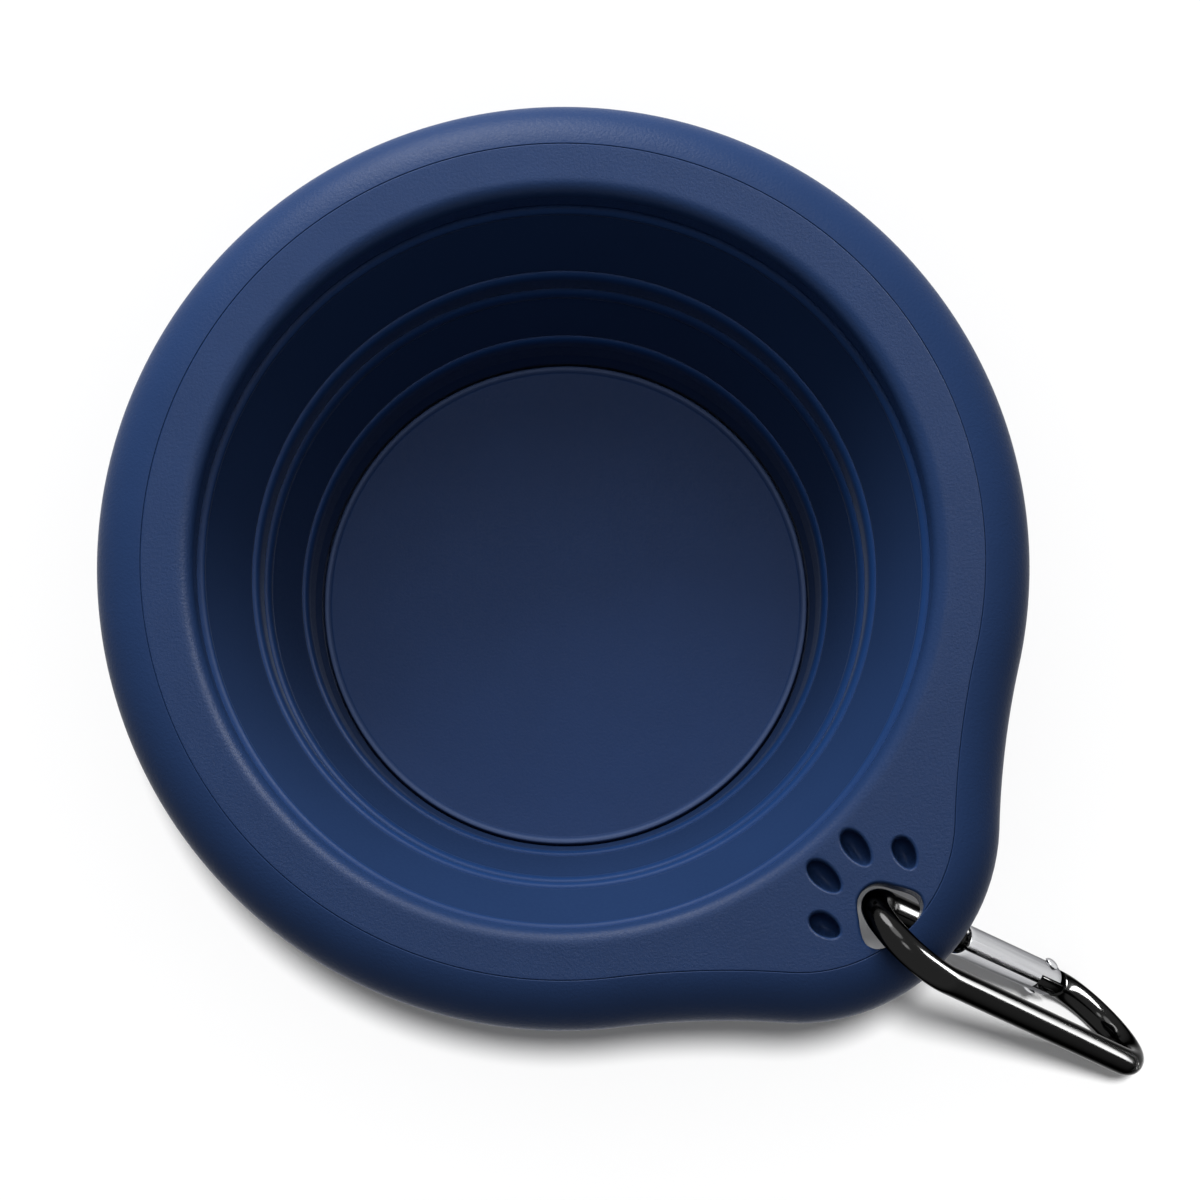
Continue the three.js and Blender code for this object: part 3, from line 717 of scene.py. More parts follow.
class Outline:
    """Rim outline with its tab: a circle, hollow blends and a rounded corner"""

    def __init__(self, bowl, tab):
        self.axis = tab.axis
        self.radius = bowl.rim / MM
        self.reach = tab.reach / MM
        self.corner = tab.corner / MM
        self.blend = tab.blend / MM
        self.tip = self.radius + self.reach
        self.corner_at = self.tip - self.corner
        blend_out = self.radius + self.blend
        blend_in = self.corner + self.blend
        squares = blend_out**2 + self.corner_at**2 - blend_in**2
        self.blend_angle = math.acos(squares / (2 * blend_out * self.corner_at))
        self.blend_centre = blend_out * heading(self.blend_angle)
        corner_centre = Vector((self.corner_at, 0))
        touch = corner_centre + (self.blend_centre - corner_centre) * (self.corner / blend_in)
        self.corner_angle = math.atan2(touch.y, touch.x)

    def radius_at(self, angle):
        """Outline radius at a polar angle"""
        away = abs((angle - self.axis + math.pi) % (2 * math.pi) - math.pi)
        if away >= self.blend_angle:
            return self.radius
        if away <= self.corner_angle:
            along = math.cos(away) * self.corner_at
            return along + math.sqrt(along**2 - self.corner_at**2 + self.corner**2)
        along = heading(away).dot(self.blend_centre)
        inside = along**2 - self.blend_centre.length_squared + self.blend**2
        return along - math.sqrt(max(0.0, inside))

    def point(self, angle):
        return self.radius_at(angle) * heading(angle)

    def inward(self, angle):
        """Unit normal that points into the rim"""
        along = (self.point(angle + NUDGE) - self.point(angle - NUDGE)).normalized()
        return Vector((-along.y, along.x))

    def tab_share(self, angle):
        """How much the section at an angle belongs to the tab, from 0 to 1"""
        beyond = (self.radius_at(angle) - self.radius) / (TAB_RAMP * self.reach)
        t = min(1.0, max(0.0, beyond))
        return t * t * (3 - 2 * t)

    def place(self, angle, kind, offset, top, depth):
        """Point of a section: offset in from the edge or out from the axis, depth below the top"""
        if kind == "axis":
            flat = offset * heading(angle)
        else:
            flat = self.point(angle) + self.inward(angle) * offset
        return (flat.x, flat.y, top - depth)

    def sweep(self, section_at, top):
        """Rings of a section that changes along the outline"""
        rings = []
        for k in range(OUTLINE_STEPS):
            angle = self.axis + 2 * math.pi * k / OUTLINE_STEPS
            section = section_at(angle)
            rings.append([self.place(angle, *part, top, depth) for *part, depth in section])
        return rings


class RimDepths(Millimetres):
    """Depths below the rim top and radii that the rim's pieces share"""

    def __init__(self, bowl):
        super().__init__(bowl)
        self.cover_under = self.shell
        self.ledge_top = self.cover_under + self.fit
        self.ledge_under = self.ledge_top + LEDGE
        self.skirt_end = SKIRT_SHARE * self.thick
        self.skirt_outer = self.mouth + SKIRT
        self.collar_outer = outer_radius("wall_collar")
        self.frame_floor = self.thick - self.shell
        self.frame_inner = self.mouth + FLANGE
        self.bull = self.thick / 2


def measured_from(kind, points):
    """Section points (offset, depth) with the word for where their offsets start"""
    return [(kind, *point) for point in points]


def shell_section(rim, d, angle, thin):
    """Lower shell at an angle: rounded outer edge, underside, inner flange and cover ledge"""
    t = rim.tab_share(angle)
    under = mix(d.thick, thin, t)
    low_round = mix(d.seam, TAB_ROUND, t)
    inside = under - d.shell
    step = mix(d.frame_inner + STEP_IN, rim.radius - STEP_OUT, t)
    reach = d.seam + LEDGE_REACH
    tilt = d.group.tilt
    outer = [(d.seam, d.ledge_top)]
    for q in [0.0, *quarter(3)[:-1]]:
        depth = SEAM_DROP + d.brink * (1 - math.sin(q))
        outer.append((d.seam - d.brink * (1 - math.cos(q)), depth))
    for k in range(BULL_STEPS + 1):
        q = mix(tilt, math.pi / 2, k / BULL_STEPS)
        out = (math.sin(q) - math.sin(tilt)) / (1 - math.sin(tilt))
        down = (math.cos(tilt) - math.cos(q)) / math.cos(tilt)
        outer.append(((d.seam - d.brink) * (1 - out), mix(SEAM_DROP, d.bull, down)))
    for q in quarter(12):
        outer.append((low_round * (1 - math.cos(q)), mix(d.bull, under, math.sin(q))))
    inner = [
        (step + 0.4, under), (step, mix(under, d.thick, 0.15)),
        (step - 0.8, mix(under, d.thick, 0.85)), (step - 1.2, d.thick),
    ]
    for q in [0.0, *quarter(4)]:
        depth = d.thick - FLANGE_ROUND * (1 - math.cos(q))
        inner.append((d.frame_inner + FLANGE_ROUND * (1 - math.sin(q)), depth))
    inner += [
        (d.frame_inner, d.frame_floor), (d.collar_outer + 1, d.frame_floor),
        (d.collar_outer + 1.8, mix(d.frame_floor, inside, t)),
    ]
    back = [
        (mix(d.shell + 2, reach - 0.3, t), mix(d.frame_floor - 0.6, inside, t)),
        (mix(d.shell, reach - 0.2, t), mix(d.bull, d.ledge_under + 0.3, t)),
        (mix(d.shell + 1, reach - 0.1, t), mix(d.ledge_under, d.ledge_under + 0.15, t)),
        (reach, d.ledge_under), (reach, d.ledge_top),
    ]
    parts = (("edge", outer), ("axis", inner), ("edge", back))
    return [point for part in parts for point in measured_from(*part)]


def cover_section(d):
    """Top face: seam edge, flat, rounded lip and the skirt that clamps the soft wall"""
    edge = d.seam + d.gap
    outer = [(edge, d.cover_under)]
    for q in [0.0, *quarter(3)]:
        outer.append((edge + d.brink * (1 - math.cos(q)), d.brink * (1 - math.sin(q))))
    outer.append((edge + 0.8, 0.0))
    inner = [(d.mouth + d.lip + 0.6, 0.0)]
    for q in [0.0, *quarter(10)]:
        inner.append((d.mouth + d.lip * (1 - math.sin(q)), d.lip * (1 - math.cos(q))))
    inner += [
        (d.mouth, d.skirt_end - 0.4), (d.mouth + 0.12, d.skirt_end - 0.12),
        (d.mouth + 0.4, d.skirt_end), (d.skirt_outer, d.skirt_end),
        (d.skirt_outer, d.cover_under),
    ]
    return measured_from("edge", outer) + measured_from("axis", inner)


# Paw in tab coordinates: x across the tab, y towards the bowl, about the pad's centre

PAD_HALF = (
    (0, 4.25), (1.5, 3.9), (2.6, 2.9), (3.4, 1.7), (4.2, 0.5),
    (4.8, -0.7), (4.9, -1.8), (4.2, -3), (2.6, -3.7), (0, -3.85),
)
TOES = (
    {"x": 2.95, "y": 9.2, "long": 5.6, "wide": 3.0, "turn": -5},
    {"x": -2.95, "y": 9.2, "long": 5.6, "wide": 3.0, "turn": 5},
    {"x": 7.4, "y": 4.2, "long": 4.6, "wide": 2.9, "turn": -15},
    {"x": -7.4, "y": 4.2, "long": 4.6, "wide": 2.9, "turn": 15},
)


def closed_curve(points, count):
    """Points along a smooth closed curve through the given points"""
    spaced = []
    total = len(points)
    for k in range(count):
        at = total * k / count
        i = int(at)
        t = at - i
        a, b, c, d = (Vector(points[(i + n) % total]) for n in (-1, 0, 1, 2))
        square = 2 * a - 5 * b + 4 * c - d
        cube = 3 * b - a - 3 * c + d
        spaced.append(0.5 * (2 * b + (c - a) * t + square * t**2 + cube * t**3))
    return spaced


def grown(outline, margin):
    """A closed outline that runs anticlockwise, moved outward by a margin"""
    moved = []
    for k, p in enumerate(outline):
        along = (outline[(k + 1) % len(outline)] - outline[k - 1]).normalized()
        moved.append(p + margin * Vector((along.y, -along.x)))
    return moved


def pad_outline():
    """The pad, anticlockwise"""
    left = [(-x, y) for x, y in PAD_HALF[1:-1]]
    return closed_curve([*reversed(PAD_HALF), *left], PAD_STEPS)


def toe_outline(toe):
    """One toe, an egg with its narrow end towards the pad, anticlockwise"""
    points = []
    lean = math.radians(toe["turn"])
    cosine, sine = math.cos(lean), math.sin(lean)
    for c, s in circle(TOE_STEPS):
        x = toe["wide"] / 2 * c * (1 + TOE_EGG * s)
        y = toe["long"] / 2 * s
        across = toe["x"] + x * cosine - y * sine
        points.append(Vector((across, toe["y"] + x * sine + y * cosine)))
    return points


def paw_tool(name, outline, levels, rim, tab):
    """Closed tool that follows a paw outline, given (margin, depth) levels from the top down, with
    a third value where the outline shrinks to a share of its size"""
    middle = (rim.tip - tab.paw_inset / MM) * heading(tab.axis)
    spin = Matrix.Rotation(tab.axis + math.pi / 2, 2)
    top = bpy.context.scene.petbowl_bowl.height / MM
    rings = []
    heart = sum(outline, Vector((0, 0))) / len(outline)
    for margin, depth, *share in levels:
        size = share[0] if share else 1.0
        flat = [middle + spin @ (heart + (p - heart) * size) for p in grown(outline, margin)]
        rings.append([(p.x, p.y, top - depth) for p in flat])
    return finished(name, loft(rings))


def flared(edge, start, end, upward):
    """Levels of a hole's wall whose mouth is rounded at the start of a run of depths"""
    way = -1 if upward else 1
    levels = [(edge + PAST_EDGE, start - way * PAST_FACE)]
    for t in [0.0, *quarter(6)]:
        levels.append((edge * (1 - math.sin(t)), start + way * edge * (1 - math.cos(t))))
    levels.append((0.0, end))
    return levels


class PETBOWL_OT_rim_frame(bpy.types.Operator):
    """Build the lower rim shell with its full round edge, the tab and the pad hole"""

    bl_idname = "petbowl.rim_frame"
    bl_label = "Rim lower shell"

    def execute(self, context):
        bowl = context.scene.petbowl_bowl
        tab = context.scene.petbowl_tab
        rim = Outline(bowl, tab)
        d = RimDepths(bowl)
        thin = tab.thickness / MM
        rings = rim.sweep(lambda angle: shell_section(rim, d, angle, thin), d.height)
        skin = finish_of("rim_plastic_fine")
        shell = finished("rim_lower_shell", loft(rings, closed=True), skin)
        pad = pad_outline()
        wall = [(SLEEVE, d.ledge_top), (SLEEVE, thin - SLEEVE_SINK)]
        joined(shell, [paw_tool("sleeve", pad, wall, rim, tab)], "UNION")
        levels = flared(tab.edge_round / MM, thin, -PAST_FACE, upward=True)
        joined(shell, [paw_tool("hole", pad, levels, rim, tab)], "DIFFERENCE")
        even_normals(shell)
        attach(dressed(shell, "rim_frame", "rim_plastic"), "rim")
        return {"FINISHED"}


class PETBOWL_OT_rim_cover(bpy.types.Operator):
    """Build the rim's top face with the rounded lip, the toe recesses and the pad hole"""

    bl_idname = "petbowl.rim_cover"
    bl_label = "Rim top face"

    def execute(self, context):
        bowl = context.scene.petbowl_bowl
        tab = context.scene.petbowl_tab
        rim = Outline(bowl, tab)
        d = RimDepths(bowl)
        depth = tab.toe_depth / MM
        edge = tab.edge_round / MM
        brim = depth - TOE_BOWL
        section = cover_section(d)
        rings = rim.sweep(lambda angle: section, d.height)
        skin = finish_of("rim_plastic_fine")
        face = finished("rim_top_face", loft(rings, closed=True), skin)
        cups = []
        recesses = []
        for k, toe in enumerate(TOES):
            outline = toe_outline(toe)
            cup = [(CUP, CUP_SINK), (CUP, depth + CUP)]
            cups.append(paw_tool(f"cup{k}", outline, cup, rim, tab))
            levels = flared(edge, 0.0, brim, upward=False)
            for q in quarter(9):
                share = max(TOE_TIP, math.cos(q))
                levels.append((0.0, brim + TOE_BOWL * math.sin(q), share))
            recesses.append(paw_tool(f"toe{k}", outline, levels, rim, tab))
        joined(face, cups, "UNION")
        hole = paw_tool("hole", pad_outline(), flared(edge, 0.0, d.thick, upward=False), rim, tab)
        joined(face, [*recesses, hole], "DIFFERENCE")
        even_normals(face)
        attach(dressed(face, "rim_cover", "rim_face_plastic"), "rim")
        return {"FINISHED"}


# Soft wall and floor disc, in millimetres

BEAD_WALL = 1.9
ROLL, ROLL_START = 1.7, 0.1  # height of a rolled ledge, and how far it starts inside its fold
STEP_HIGH = 2.35  # height of the step in the middle ring
FOLD_FACET, FLOOR_FACET = 0.45, 6.0  # longest facets; a fold band has to bend
DISC_GAP, DISC_SEAT, DISC_BEAD = 0.12, 0.3, 0.5  # gaps round and under the disc, and its edge


def wall_bead(bowl, skin):
    """Top of the wall, clamped between the skirt and the lower shell"""
    d = RimDepths(bowl)
    inner = inner_radius("wall_collar")
    outer = inner + BEAD_WALL
    fold_top = ring_end("upper_fold", True)[1] + d.fit
    top = d.height - d.skirt_end - d.fit
    low, high = heights("wall_collar")
    groove = d.skirt_outer + d.fit
    rolled = ((inner + 1.0, top), (inner, top - 0.75))
    corners = [
        *ledge(*rolled), (inner, fold_top, 0.12), (outer, fold_top, 0), (outer, low, 0.3),
        (d.collar_outer, low, 0.3), (d.collar_outer, high, 0.3),
        (groove, high, 0.2), (groove, top, 0),
    ]
    # the rolled ledge is marked for the painted highlight
    return paint_ledge_highlight(revolved("wall_top_bead", rounded(corners), skin), [rolled])


def fold(node, above, below, gap, skin):
    """One fold band, which turns inside out as the ring below rises"""
    high_r, high = ring_end(node, True)
    low_r = ring_end(node, False)[0]
    wall = outer_radius(node) - high_r
    top = ring_end(above, False)[1] if above == "middle_ring" else high + 0.3
    top -= gap
    bottom = ring_end(below, True)[1] + gap
    corners = [
        (high_r, top, 0.1), (low_r, bottom, 0.1),
        (low_r + wall, bottom, 0.2), (high_r + wall, top, 0.2),
    ]
    turned = [(r, z, 0) for r, z in rounded(corners, 3)]
    section = [(r, z) for r, z, _ in subdivided(turned, FOLD_FACET)]
    band = revolved(f"{node}_band", section, skin)
    dressed(band, node, "soft_wall")
    top * MM
    bottom * MM
    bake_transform(band)


def middle_ring(skin):
    """Stiff ring between the folds, with a rounded ledge at its top and foot"""
    fold_r = ring_end("upper_fold", False)[0]
    top = ring_end("middle_ring", True)[1]
    foot_r, foot = ring_end("middle_ring", False)
    outer = outer_radius("middle_ring")
    inner = fold_r - 1.05
    step = foot + STEP_HIGH
    rolled = ((fold_r - ROLL_START, top), (inner, top - ROLL))
    stepped = ((inner - 0.2, step - 0.1), (foot_r + 0.02, foot + 0.5))
    corners = [
        *ledge(*rolled), (inner - 0.12, step, 0), (inner - 0.1, step - 0.1, 0),
        *ledge(*stepped), (foot_r + 0.1, foot, 0), (outer, foot, 0.9), (outer, top, 0.3),
    ]
    ring = revolved("wall_middle_ring", rounded(corners), skin)
    # both ledges are marked for the painted highlight
    return paint_ledge_highlight(ring, [rolled, stepped])


def base_cup(skin):
    """Stiff lower ring, the foot with its groove and the skin under the floor disc"""
    fold_r = ring_end("lower_fold", False)[0]
    top = ring_end("base_cup", True)[1]
    outer = outer_radius("base_cup")
    recess = outer_radius("floor_disc") + DISC_GAP
    disc_low, disc_high = heights("floor_disc")
    inner = fold_r - 0.95
    seat = disc_low - DISC_SEAT
    rolled = ((fold_r - ROLL_START, top), (inner, top - ROLL))
    corners = [
        (0, seat, 0), (recess, seat, 0), (recess, disc_high + 0.1, 0.2),
        (inner - 0.45, disc_high + 2.6, 1.0), (inner, top - 3.4, 1.0),
        *reversed(ledge(*rolled)), (outer, top, 0.3),
        (outer - 0.6, 3.4, 0), (outer - 0.8, 0, 1.4), (outer - 3.2, 0, 0.3),
        (outer - 3.6, 0.4, 0.2), (outer - 5.4, 0.4, 0.2), (outer - 5.8, 0, 0.3), (0, 0, 0),
    ]
    # the rolled ledge is marked for the painted highlight
    return paint_ledge_highlight(revolved("wall_base_cup", rounded(corners), skin), [rolled])


class PETBOWL_OT_soft_wall(bpy.types.Operator):
    """Build the soft wall: the clamped bead, two fold bands, the ring between and the base cup"""

    bl_idname = "petbowl.soft_wall"
    bl_label = "Soft folding wall"

    def execute(self, context):
        bowl = context.scene.petbowl_bowl
        gap = bowl.crease / MM
        skin = finish_of("wall_elastomer")
        bead = wall_bead(bowl, skin)
        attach(dressed(bead, "wall_collar", "soft_wall"), "rim")
        ring = middle_ring(skin)
        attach(dressed(ring, "middle_ring", "soft_wall"), "middle")
        cup = base_cup(skin)
        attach(dressed(cup, "base_cup", "soft_wall"), "base")
        fold("upper_fold", "wall_collar", "middle_ring", gap, skin)
        fold("lower_fold", "middle_ring", "base_cup", gap, skin)
        return {"FINISHED"}


class PETBOWL_OT_floor_disc(bpy.types.Operator):
    """Build the hard floor disc with its raised, rounded edge"""

    bl_idname = "petbowl.floor_disc"
    bl_label = "Floor disc"

    def execute(self, context):
        radius = outer_radius("floor_disc")
        low, high = heights("floor_disc")
        flat = high - DISC_BEAD
        corners = [
            (0, flat, 0), (radius - 1.3, flat, 0.3), (radius - 0.85, high, 0.3),
            (radius - 0.3, high, 0.3), (radius, low, 0.3), (0, low, 0),
        ]
        section = rounded(subdivided(corners, FLOOR_FACET), 6)
        disc = revolved("floor_plate", section, finish_of("floor_plastic_fine"))
        # the bead is marked for the painted highlight
        paint_ledge_highlight(disc, [((radius - 0.2, high), (radius - 1.2, flat + 0.05))])
        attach(dressed(disc, "floor_disc", "floor_plastic"), "base")
        return {"FINISHED"}


# Clip, in millimetres

TONGUE_PLAY, TONGUE_ROUND = 0.7, 0.25  # tongues' play in the gate, and their edges' rounding
PIN_BACK, CATCH_IN = 2.2, 2.6  # rivet from the gate's end, catch pin from its start
NOSE_BACK = 0.6  # end of the full rod before the gate's start
LAST_RING = 0.35  # last full ring from the shoulder, whose edge is rounded
ROD_END = ((0.0, 0.3), (0.09, 0.09), (0.3, 0.0))  # inset and shrink of a rounded end's rings
NECK_END = ((0.0, 0.25), (0.08, 0.08), (0.25, 0.0))
TUBE_END = ((0.0, 0.12), (0.05, 0.04), (0.16, 0.0))
TUBE_END_BORE = 0.3  # share of the tube's shrink by which its bore widens
NECK_CUT, NECK_GAP = 0.1, 0.3  # flat of the neck as a share of its radius, gap to the gate
HOLE_PLAY, RIVET_PLAY = 0.05, 0.02  # gaps round the pins in the rod and round the rivet in the gate
SEAM_HALF = 0.22  # half the width of the gate's open seam
HEAD_GAP, HEAD_HIGH = 0.06, 0.42  # gap under the rivet's heads, and height of their domes
PIN_SHORT, PIN_BEVEL = 0.45, 0.15  # catch pin's ends inside the bore, and their bevel
WIRE = 0.36  # radius of the spring's wire


class ClipLayout(Millimetres):
    """Lines of the clip in its own plane: x runs from the bend in the tab to the far bend, y to
    the gate side and z along the hinge"""

    def __init__(self, clip):
        super().__init__(clip)
        self.bore = self.outer / 2 - self.sheet
        self.end = self.start + self.gate
        self.tongue_high = 2 * self.bore - TONGUE_PLAY
        self.shoulder = self.end + self.neck
        self.pin_at = self.end - PIN_BACK
        self.catch_at = self.start + CATCH_IN
        self.flare = math.asin((self.far - self.near) / self.span)
        self.side = math.sqrt(self.span**2 - (self.far - self.near) ** 2)

    def on_gate(self, along, out=0.0, across=0.0):
        """Point on the gate's line: along it, outward from it and across it"""
        s, c = math.sin(self.flare), math.cos(self.flare)
        x = -self.near * s + along * c - out * s
        y = self.near * c + along * s + out * c
        return Vector((x, y, across))

    def bend(self, middle_x, radius, start, arc, steps):
        """Points and directions inside a bend, its two ends left out"""
        line = []
        for k in range(1, steps):
            way = heading(start + arc * k / steps).to_3d()
            along = Vector((-way.y, way.x, 0))
            line.append((Vector((middle_x, 0, 0)) + radius * way, along))
        return line

    def centre_line(self):
        """Points and directions of the rod from its nose to its hinge end"""
        forward = heading(self.flare).to_3d()
        nose = self.start - NOSE_BACK
        line = [(self.on_gate(nose * (1 - k / 8)), -forward) for k in range(9)]
        start = math.pi / 2 + self.flare
        line += self.bend(0, self.near, start, math.pi - 2 * self.flare, 40)
        back = Vector((forward.x, -forward.y, 0))
        for k in range(25):
            p = self.on_gate(self.side * k / 24)
            line.append((Vector((p.x, -p.y, 0)), back))
        line += self.bend(self.span, self.far, -start, math.pi + 2 * self.flare, 44)
        last = self.shoulder + LAST_RING
        stops = [*(mix(self.side, last, k / 2) for k in range(3)), self.shoulder]
        return line + [(self.on_gate(stop), -forward) for stop in stops]

    def place(self):
        """Where the clip lies, from the frame's two clip hinges"""
        joints = {joint["name"]: joint for joint in frame["joints"]}
        centre = Vector(joints["clip_swing"]["pos_m"])
        hinge = Vector(joints["gate_open"]["axis"]).normalized()
        reach = Vector(joints["gate_open"]["pos_m"]) - centre
        reach -= hinge * reach.dot(hinge)
        flat = self.on_gate(self.pin_at)
        turn_back = Matrix.Rotation(-math.atan2(flat.y, flat.x), 3, hinge)
        ahead = turn_back @ reach.normalized()
        matrix = Matrix((ahead, hinge.cross(ahead), hinge)).transposed().to_4x4()
        matrix.translation = centre
        return matrix


def ring_round(centre, along, radius, sides):
    """Circle of points square to a direction in the clip's plane"""
    across = Vector((0, 0, 1))
    out = across.cross(along).normalized()
    return [centre + radius * (c * out + s * across) for c, s in circle(sides)]


def gate_block(layout, name, along, out, across, edge=0.0):
    """Block on the gate's line between two places along, out and across, its edges rounded"""
    corners = [(out[0], across[0]), (out[1], across[0]), (out[1], across[1]), (out[0], across[1])]
    rings = [[layout.on_gate(x, o, a) for o, a in corners] for x in along]
    block = finished(name, loft(rings))
    if edge:
        step = block.modifiers.new("rounded edges", "BEVEL")
        step.width = edge * MM
        step.segments = 3
        settled(block)
    return block


def cross_pin(layout, name, along, profile, material=None):
    """Round pin across the gate from (radius, across) points"""
    centre = layout.on_gate(along)
    rings = []
    for radius, across in profile:
        ring = [Vector((radius * c, radius * s, across)) for c, s in circle(PIN_SIDES)]
        rings.append([centre + p for p in ring])
    return finished(name, loft(rings), material)


def pin_drill(layout, name, along, play):
    """Tool for a hole right across the clip that takes a pin with some play"""
    radius = layout.pin / 2 + play
    return cross_pin(layout, name, along, [(radius, -layout.rod), (radius, layout.rod)])


def both_ends(end):
    """Profile of a pin with two like ends, from the points of one, inner point first"""
    return [(r, -across) for r, across in reversed(end)] + end


def rod_rings(layout):
    """Rings of the full rod, whose two ends are rounded"""
    (nose, forth), *line, (end, back) = layout.centre_line()
    stops = [(nose + forth * inset, forth, shrink) for inset, shrink in ROD_END]
    stops += [(p, along, 0.0) for p, along in line]
    stops += [(end - back * inset, back, shrink) for inset, shrink in reversed(ROD_END)]
    radius = layout.rod / 2
    return [ring_round(p, along, radius - shrink, ROD_SIDES) for p, along, shrink in stops]


def half_neck(layout):
    """Half-round neck beside the gate's end, cut flat on the side that faces the loop"""
    start = layout.end + NECK_GAP
    first = math.asin(NECK_CUT)
    angles = [first + (math.pi - 2 * first) * k / 24 for k in range(25)]
    stops = [(start + inset, shrink) for inset, shrink in NECK_END]
    rings = []
    for at, shrink in [*stops, (layout.shoulder + 0.9, 0.0)]:
        radius = layout.rod / 2 - shrink
        ring = [layout.on_gate(at, radius * math.sin(a), radius * math.cos(a)) for a in angles]
        rings.append(ring)
    return finished("neck", loft(rings))


def tube_rings(layout):
    """Rings of the rolled sheet, open along the seam that faces the loop"""
    slit = SEAM_HALF / (layout.outer / 2)
    angles = [mix(slit, 2 * math.pi - slit, k / TUBE_SIDES) for k in range(TUBE_SIDES + 1)]
    stops = [(layout.start + inset, shrink) for inset, shrink in TUBE_END]
    for k in range(1, TUBE_LENGTHS):
        stops.append((mix(layout.start, layout.end, k / TUBE_LENGTHS), 0.0))
    stops += [(layout.end - inset, shrink) for inset, shrink in reversed(TUBE_END)]
    rings = []
    for along, shrink in stops:
        outer = layout.outer / 2 - shrink
        inner = layout.bore + TUBE_END_BORE * shrink
        loop = [(outer, a) for a in angles] + [(inner, a) for a in reversed(angles)]
        ring = [layout.on_gate(along, -r * math.cos(a), r * math.sin(a)) for r, a in loop]
        rings.append(ring)
    return rings


def gate_slots(layout):
    """Cuts for the two tongues, the catch pin and the rivet"""
    half = (layout.tongue + TONGUE_PLAY) / 2
    wide = (-half, half)
    deep = (0.1 - layout.bore, layout.bore - 0.1)
    upper, lower = (0, layout.outer), (-layout.outer, 0)
    past = layout.end + PAST_FACE
    cuts = (
        ("nose_slot", (layout.start - PAST_FACE, layout.start + 5.2), upper, wide),
        ("catch_slot", (layout.catch_at - 1, layout.catch_at + 1), upper, deep),
        ("hinge_slot", (layout.pin_at - 3, past), upper, wide),
        ("hinge_relief", (layout.pin_at - 3.4, past), lower, wide),
    )
    blocks = [gate_block(layout, *cut) for cut in cuts]
    return [*blocks, pin_drill(layout, "rivet_hole", layout.pin_at, RIVET_PLAY)]


def spring_rings(layout):
    """Thin wire from the hinge tongue towards the nose, bowed inside the tube"""
    first = layout.catch_at + 4.2
    last = layout.pin_at - 2.2
    ahead = layout.on_gate(1) - layout.on_gate(0)
    rings = []
    for k in range(WIRE_STEPS + 1):
        t = k / WIRE_STEPS
        bow = mix(-layout.bore + 0.75, 0.35, t) + 0.55 * math.sin(math.pi * t) * (2 * t - 0.6)
        centre = layout.on_gate(mix(first, last, t), bow)
        rings.append(ring_round(centre, ahead, WIRE, WIRE_SIDES))
    return rings


class PETBOWL_OT_clip_body(bpy.types.Operator):
    """Build the clip's bent rod with its flattened tongues"""

    bl_idname = "petbowl.clip_body"
    bl_label = "Clip rod"

    def execute(self, context):
        layout = ClipLayout(context.scene.petbowl_clip)
        rod = finished("clip_rod", loft(rod_rings(layout)), finish_of("rod_black"))
        half = layout.tongue_high / 2
        size = ((-half, half), (-layout.tongue / 2, layout.tongue / 2), TONGUE_ROUND)
        nose_run = (layout.start - 1.6, layout.start + 4.2)
        hinge_run = (layout.pin_at - 1.9, layout.shoulder + 1.2)
        nose = gate_block(layout, "nose_tongue", nose_run, *size)
        hinge = gate_block(layout, "hinge_tongue", hinge_run, *size)
        joined(rod, [nose, hinge, half_neck(layout)], "UNION", ROD_CREASE)
        holes = {"rivet_hole": layout.pin_at, "catch_hole": layout.catch_at}
        drills = [pin_drill(layout, name, at, HOLE_PLAY) for name, at in holes.items()]
        joined(rod, drills, "DIFFERENCE", ROD_CREASE)
        rod.data.transform(layout.place())
        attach(dressed(rod, "clip_body", "clip_black"), "clip")
        lit_by("clip strip").objects.link(rod)
        return {"FINISHED"}


class PETBOWL_OT_clip_gate(bpy.types.Operator):
    """Build the gate, a rolled sheet tube with its seam inside and slots for the tongues"""

    bl_idname = "petbowl.clip_gate"
    bl_label = "Clip gate"

    def execute(self, context):
        layout = ClipLayout(context.scene.petbowl_clip)
        tube = finished("gate_tube", loft(tube_rings(layout)), finish_of("gate_plated"))
        joined(tube, gate_slots(layout), "DIFFERENCE", TUBE_CREASE)
        tube.data.transform(layout.place())
        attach(dressed(tube, "clip_gate", "gate_steel"), "gate")
        return {"FINISHED"}


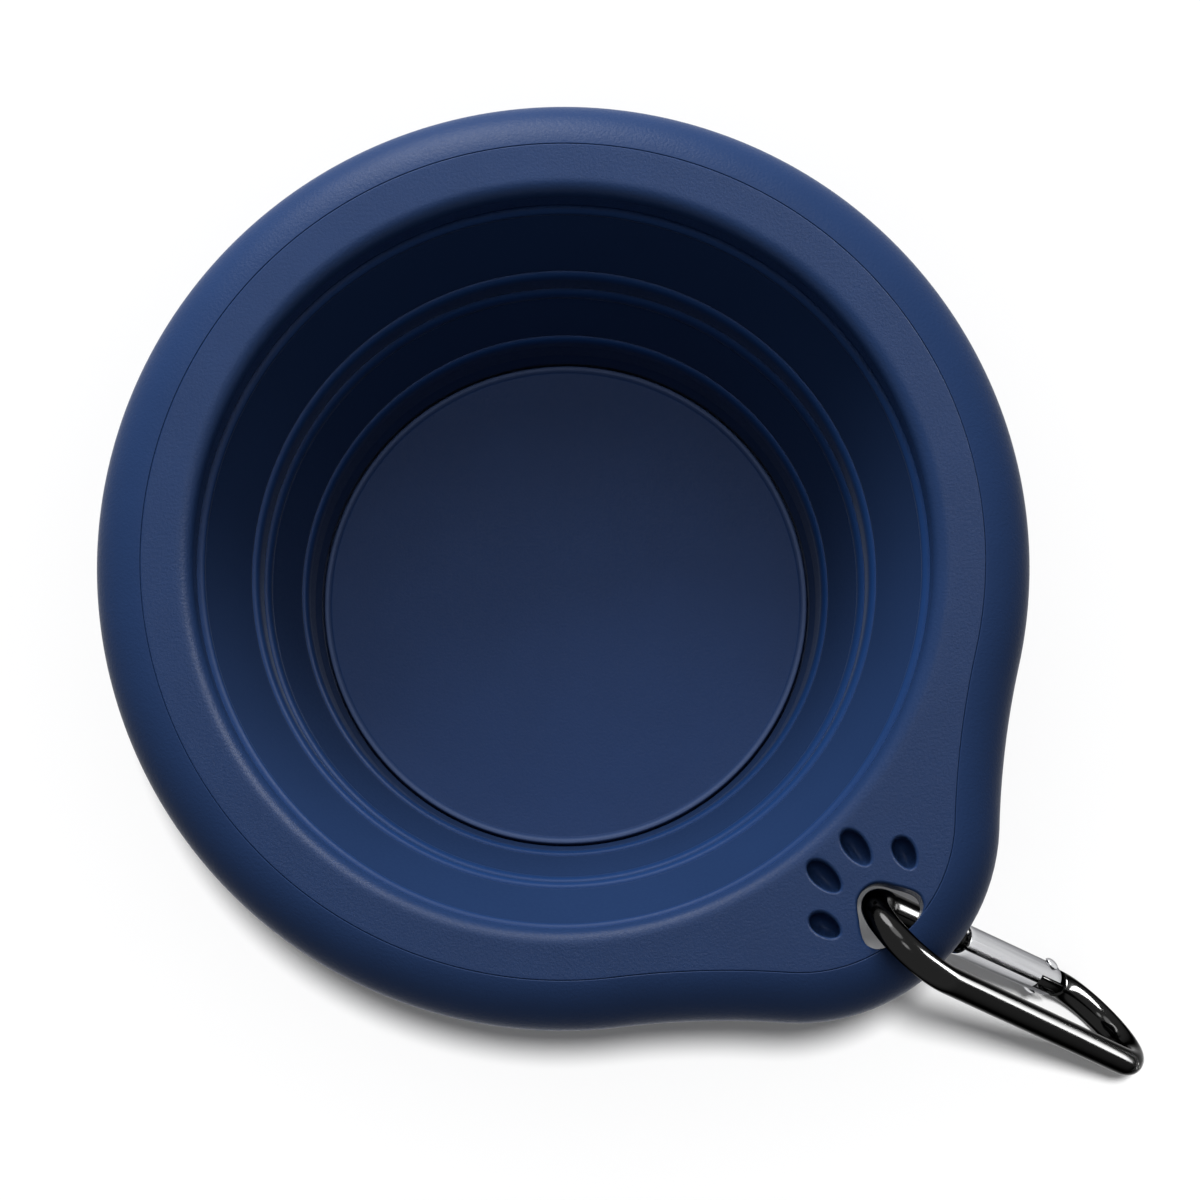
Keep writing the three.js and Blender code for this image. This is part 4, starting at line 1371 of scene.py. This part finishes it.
class PETBOWL_OT_gate_hardware(bpy.types.Operator):
    """Build the hinge rivet, the catch pin and the spring inside the gate"""

    bl_idname = "petbowl.gate_hardware"
    bl_label = "Gate rivet, pin and spring"

    def execute(self, context):
        layout = ClipLayout(context.scene.petbowl_clip)
        steel = finish_of("gate_plated")
        place = layout.place()
        shank = layout.pin / 2
        seat = math.sqrt((layout.outer / 2) ** 2 - shank**2) + HEAD_GAP
        head = [(shank, seat), (shank * 1.7, seat + 0.02), (shank * 1.72, seat + 0.14)]
        for q in quarter(5):
            dome = seat + 0.2 + HEAD_HIGH * math.sin(q)
            head.append((shank * 1.6 * math.cos(q) + 0.02, dome))
        rivet = cross_pin(layout, "gate_hinge_rivet", layout.pin_at, both_ends(head), steel)
        half = layout.bore - PIN_SHORT
        tip = [(shank, half - PIN_BEVEL), (shank - PIN_BEVEL, half)]
        pin = cross_pin(layout, "nose_catch_pin", layout.catch_at, both_ends(tip), steel)
        spring = finished("gate_wire_spring", loft(spring_rings(layout)), steel)
        for piece, node, body in (
            (rivet, "gate_rivet", "clip"),
            (pin, "catch_pin", "clip"),
            (spring, "gate_spring", "gate"),
        ):
            piece.data.transform(place)
            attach(dressed(piece, node, "gate_steel"), body)
        return {"FINISHED"}


STEPS = (
    PETBOWL_OT_stage, PETBOWL_OT_rim_frame, PETBOWL_OT_rim_cover, PETBOWL_OT_soft_wall,
    PETBOWL_OT_floor_disc, PETBOWL_OT_clip_body, PETBOWL_OT_clip_gate, PETBOWL_OT_gate_hardware,
)


class PETBOWL_PT_panel(bpy.types.Panel):
    """Lists the bowl's pieces in the sidebar"""

    bl_idname = "PETBOWL_PT_panel"
    bl_label = "Pet bowl"
    bl_space_type = "VIEW_3D"
    bl_region_type = "UI"
    bl_category = "Pet bowl"

    def draw(self, context):
        for step in STEPS:
            self.layout.operator(step.bl_idname)


GROUPS = {
    "petbowl_bowl": PETBOWL_PG_bowl,
    "petbowl_tab": PETBOWL_PG_tab,
    "petbowl_clip": PETBOWL_PG_clip,
    "petbowl_finish": PETBOWL_PG_finish,
    "petbowl_stage": PETBOWL_PG_stage,
}


def register():
    """Adds the settings, the operators and the panel"""
    for name, group in GROUPS.items():
        bpy.utils.register_class(group)
        setattr(bpy.types.Scene, name, PointerProperty(type=group))
    for step in STEPS:
        bpy.utils.register_class(step)
    bpy.utils.register_class(PETBOWL_PT_panel)


def unregister():
    """Takes them away again"""
    bpy.utils.unregister_class(PETBOWL_PT_panel)
    for step in reversed(STEPS):
        bpy.utils.unregister_class(step)
    for name, group in reversed(GROUPS.items()):
        delattr(bpy.types.Scene, name)
        bpy.utils.unregister_class(group)


def main():
    """Builds the stage and every piece"""
    register()
    bpy.ops.petbowl.stage()
    bpy.ops.petbowl.rim_frame()
    bpy.ops.petbowl.rim_cover()
    bpy.ops.petbowl.soft_wall()
    bpy.ops.petbowl.floor_disc()
    bpy.ops.petbowl.clip_body()
    bpy.ops.petbowl.clip_gate()
    bpy.ops.petbowl.gate_hardware()
    bpy.context.view_layer.update()


if __name__ == "__main__":
    main()
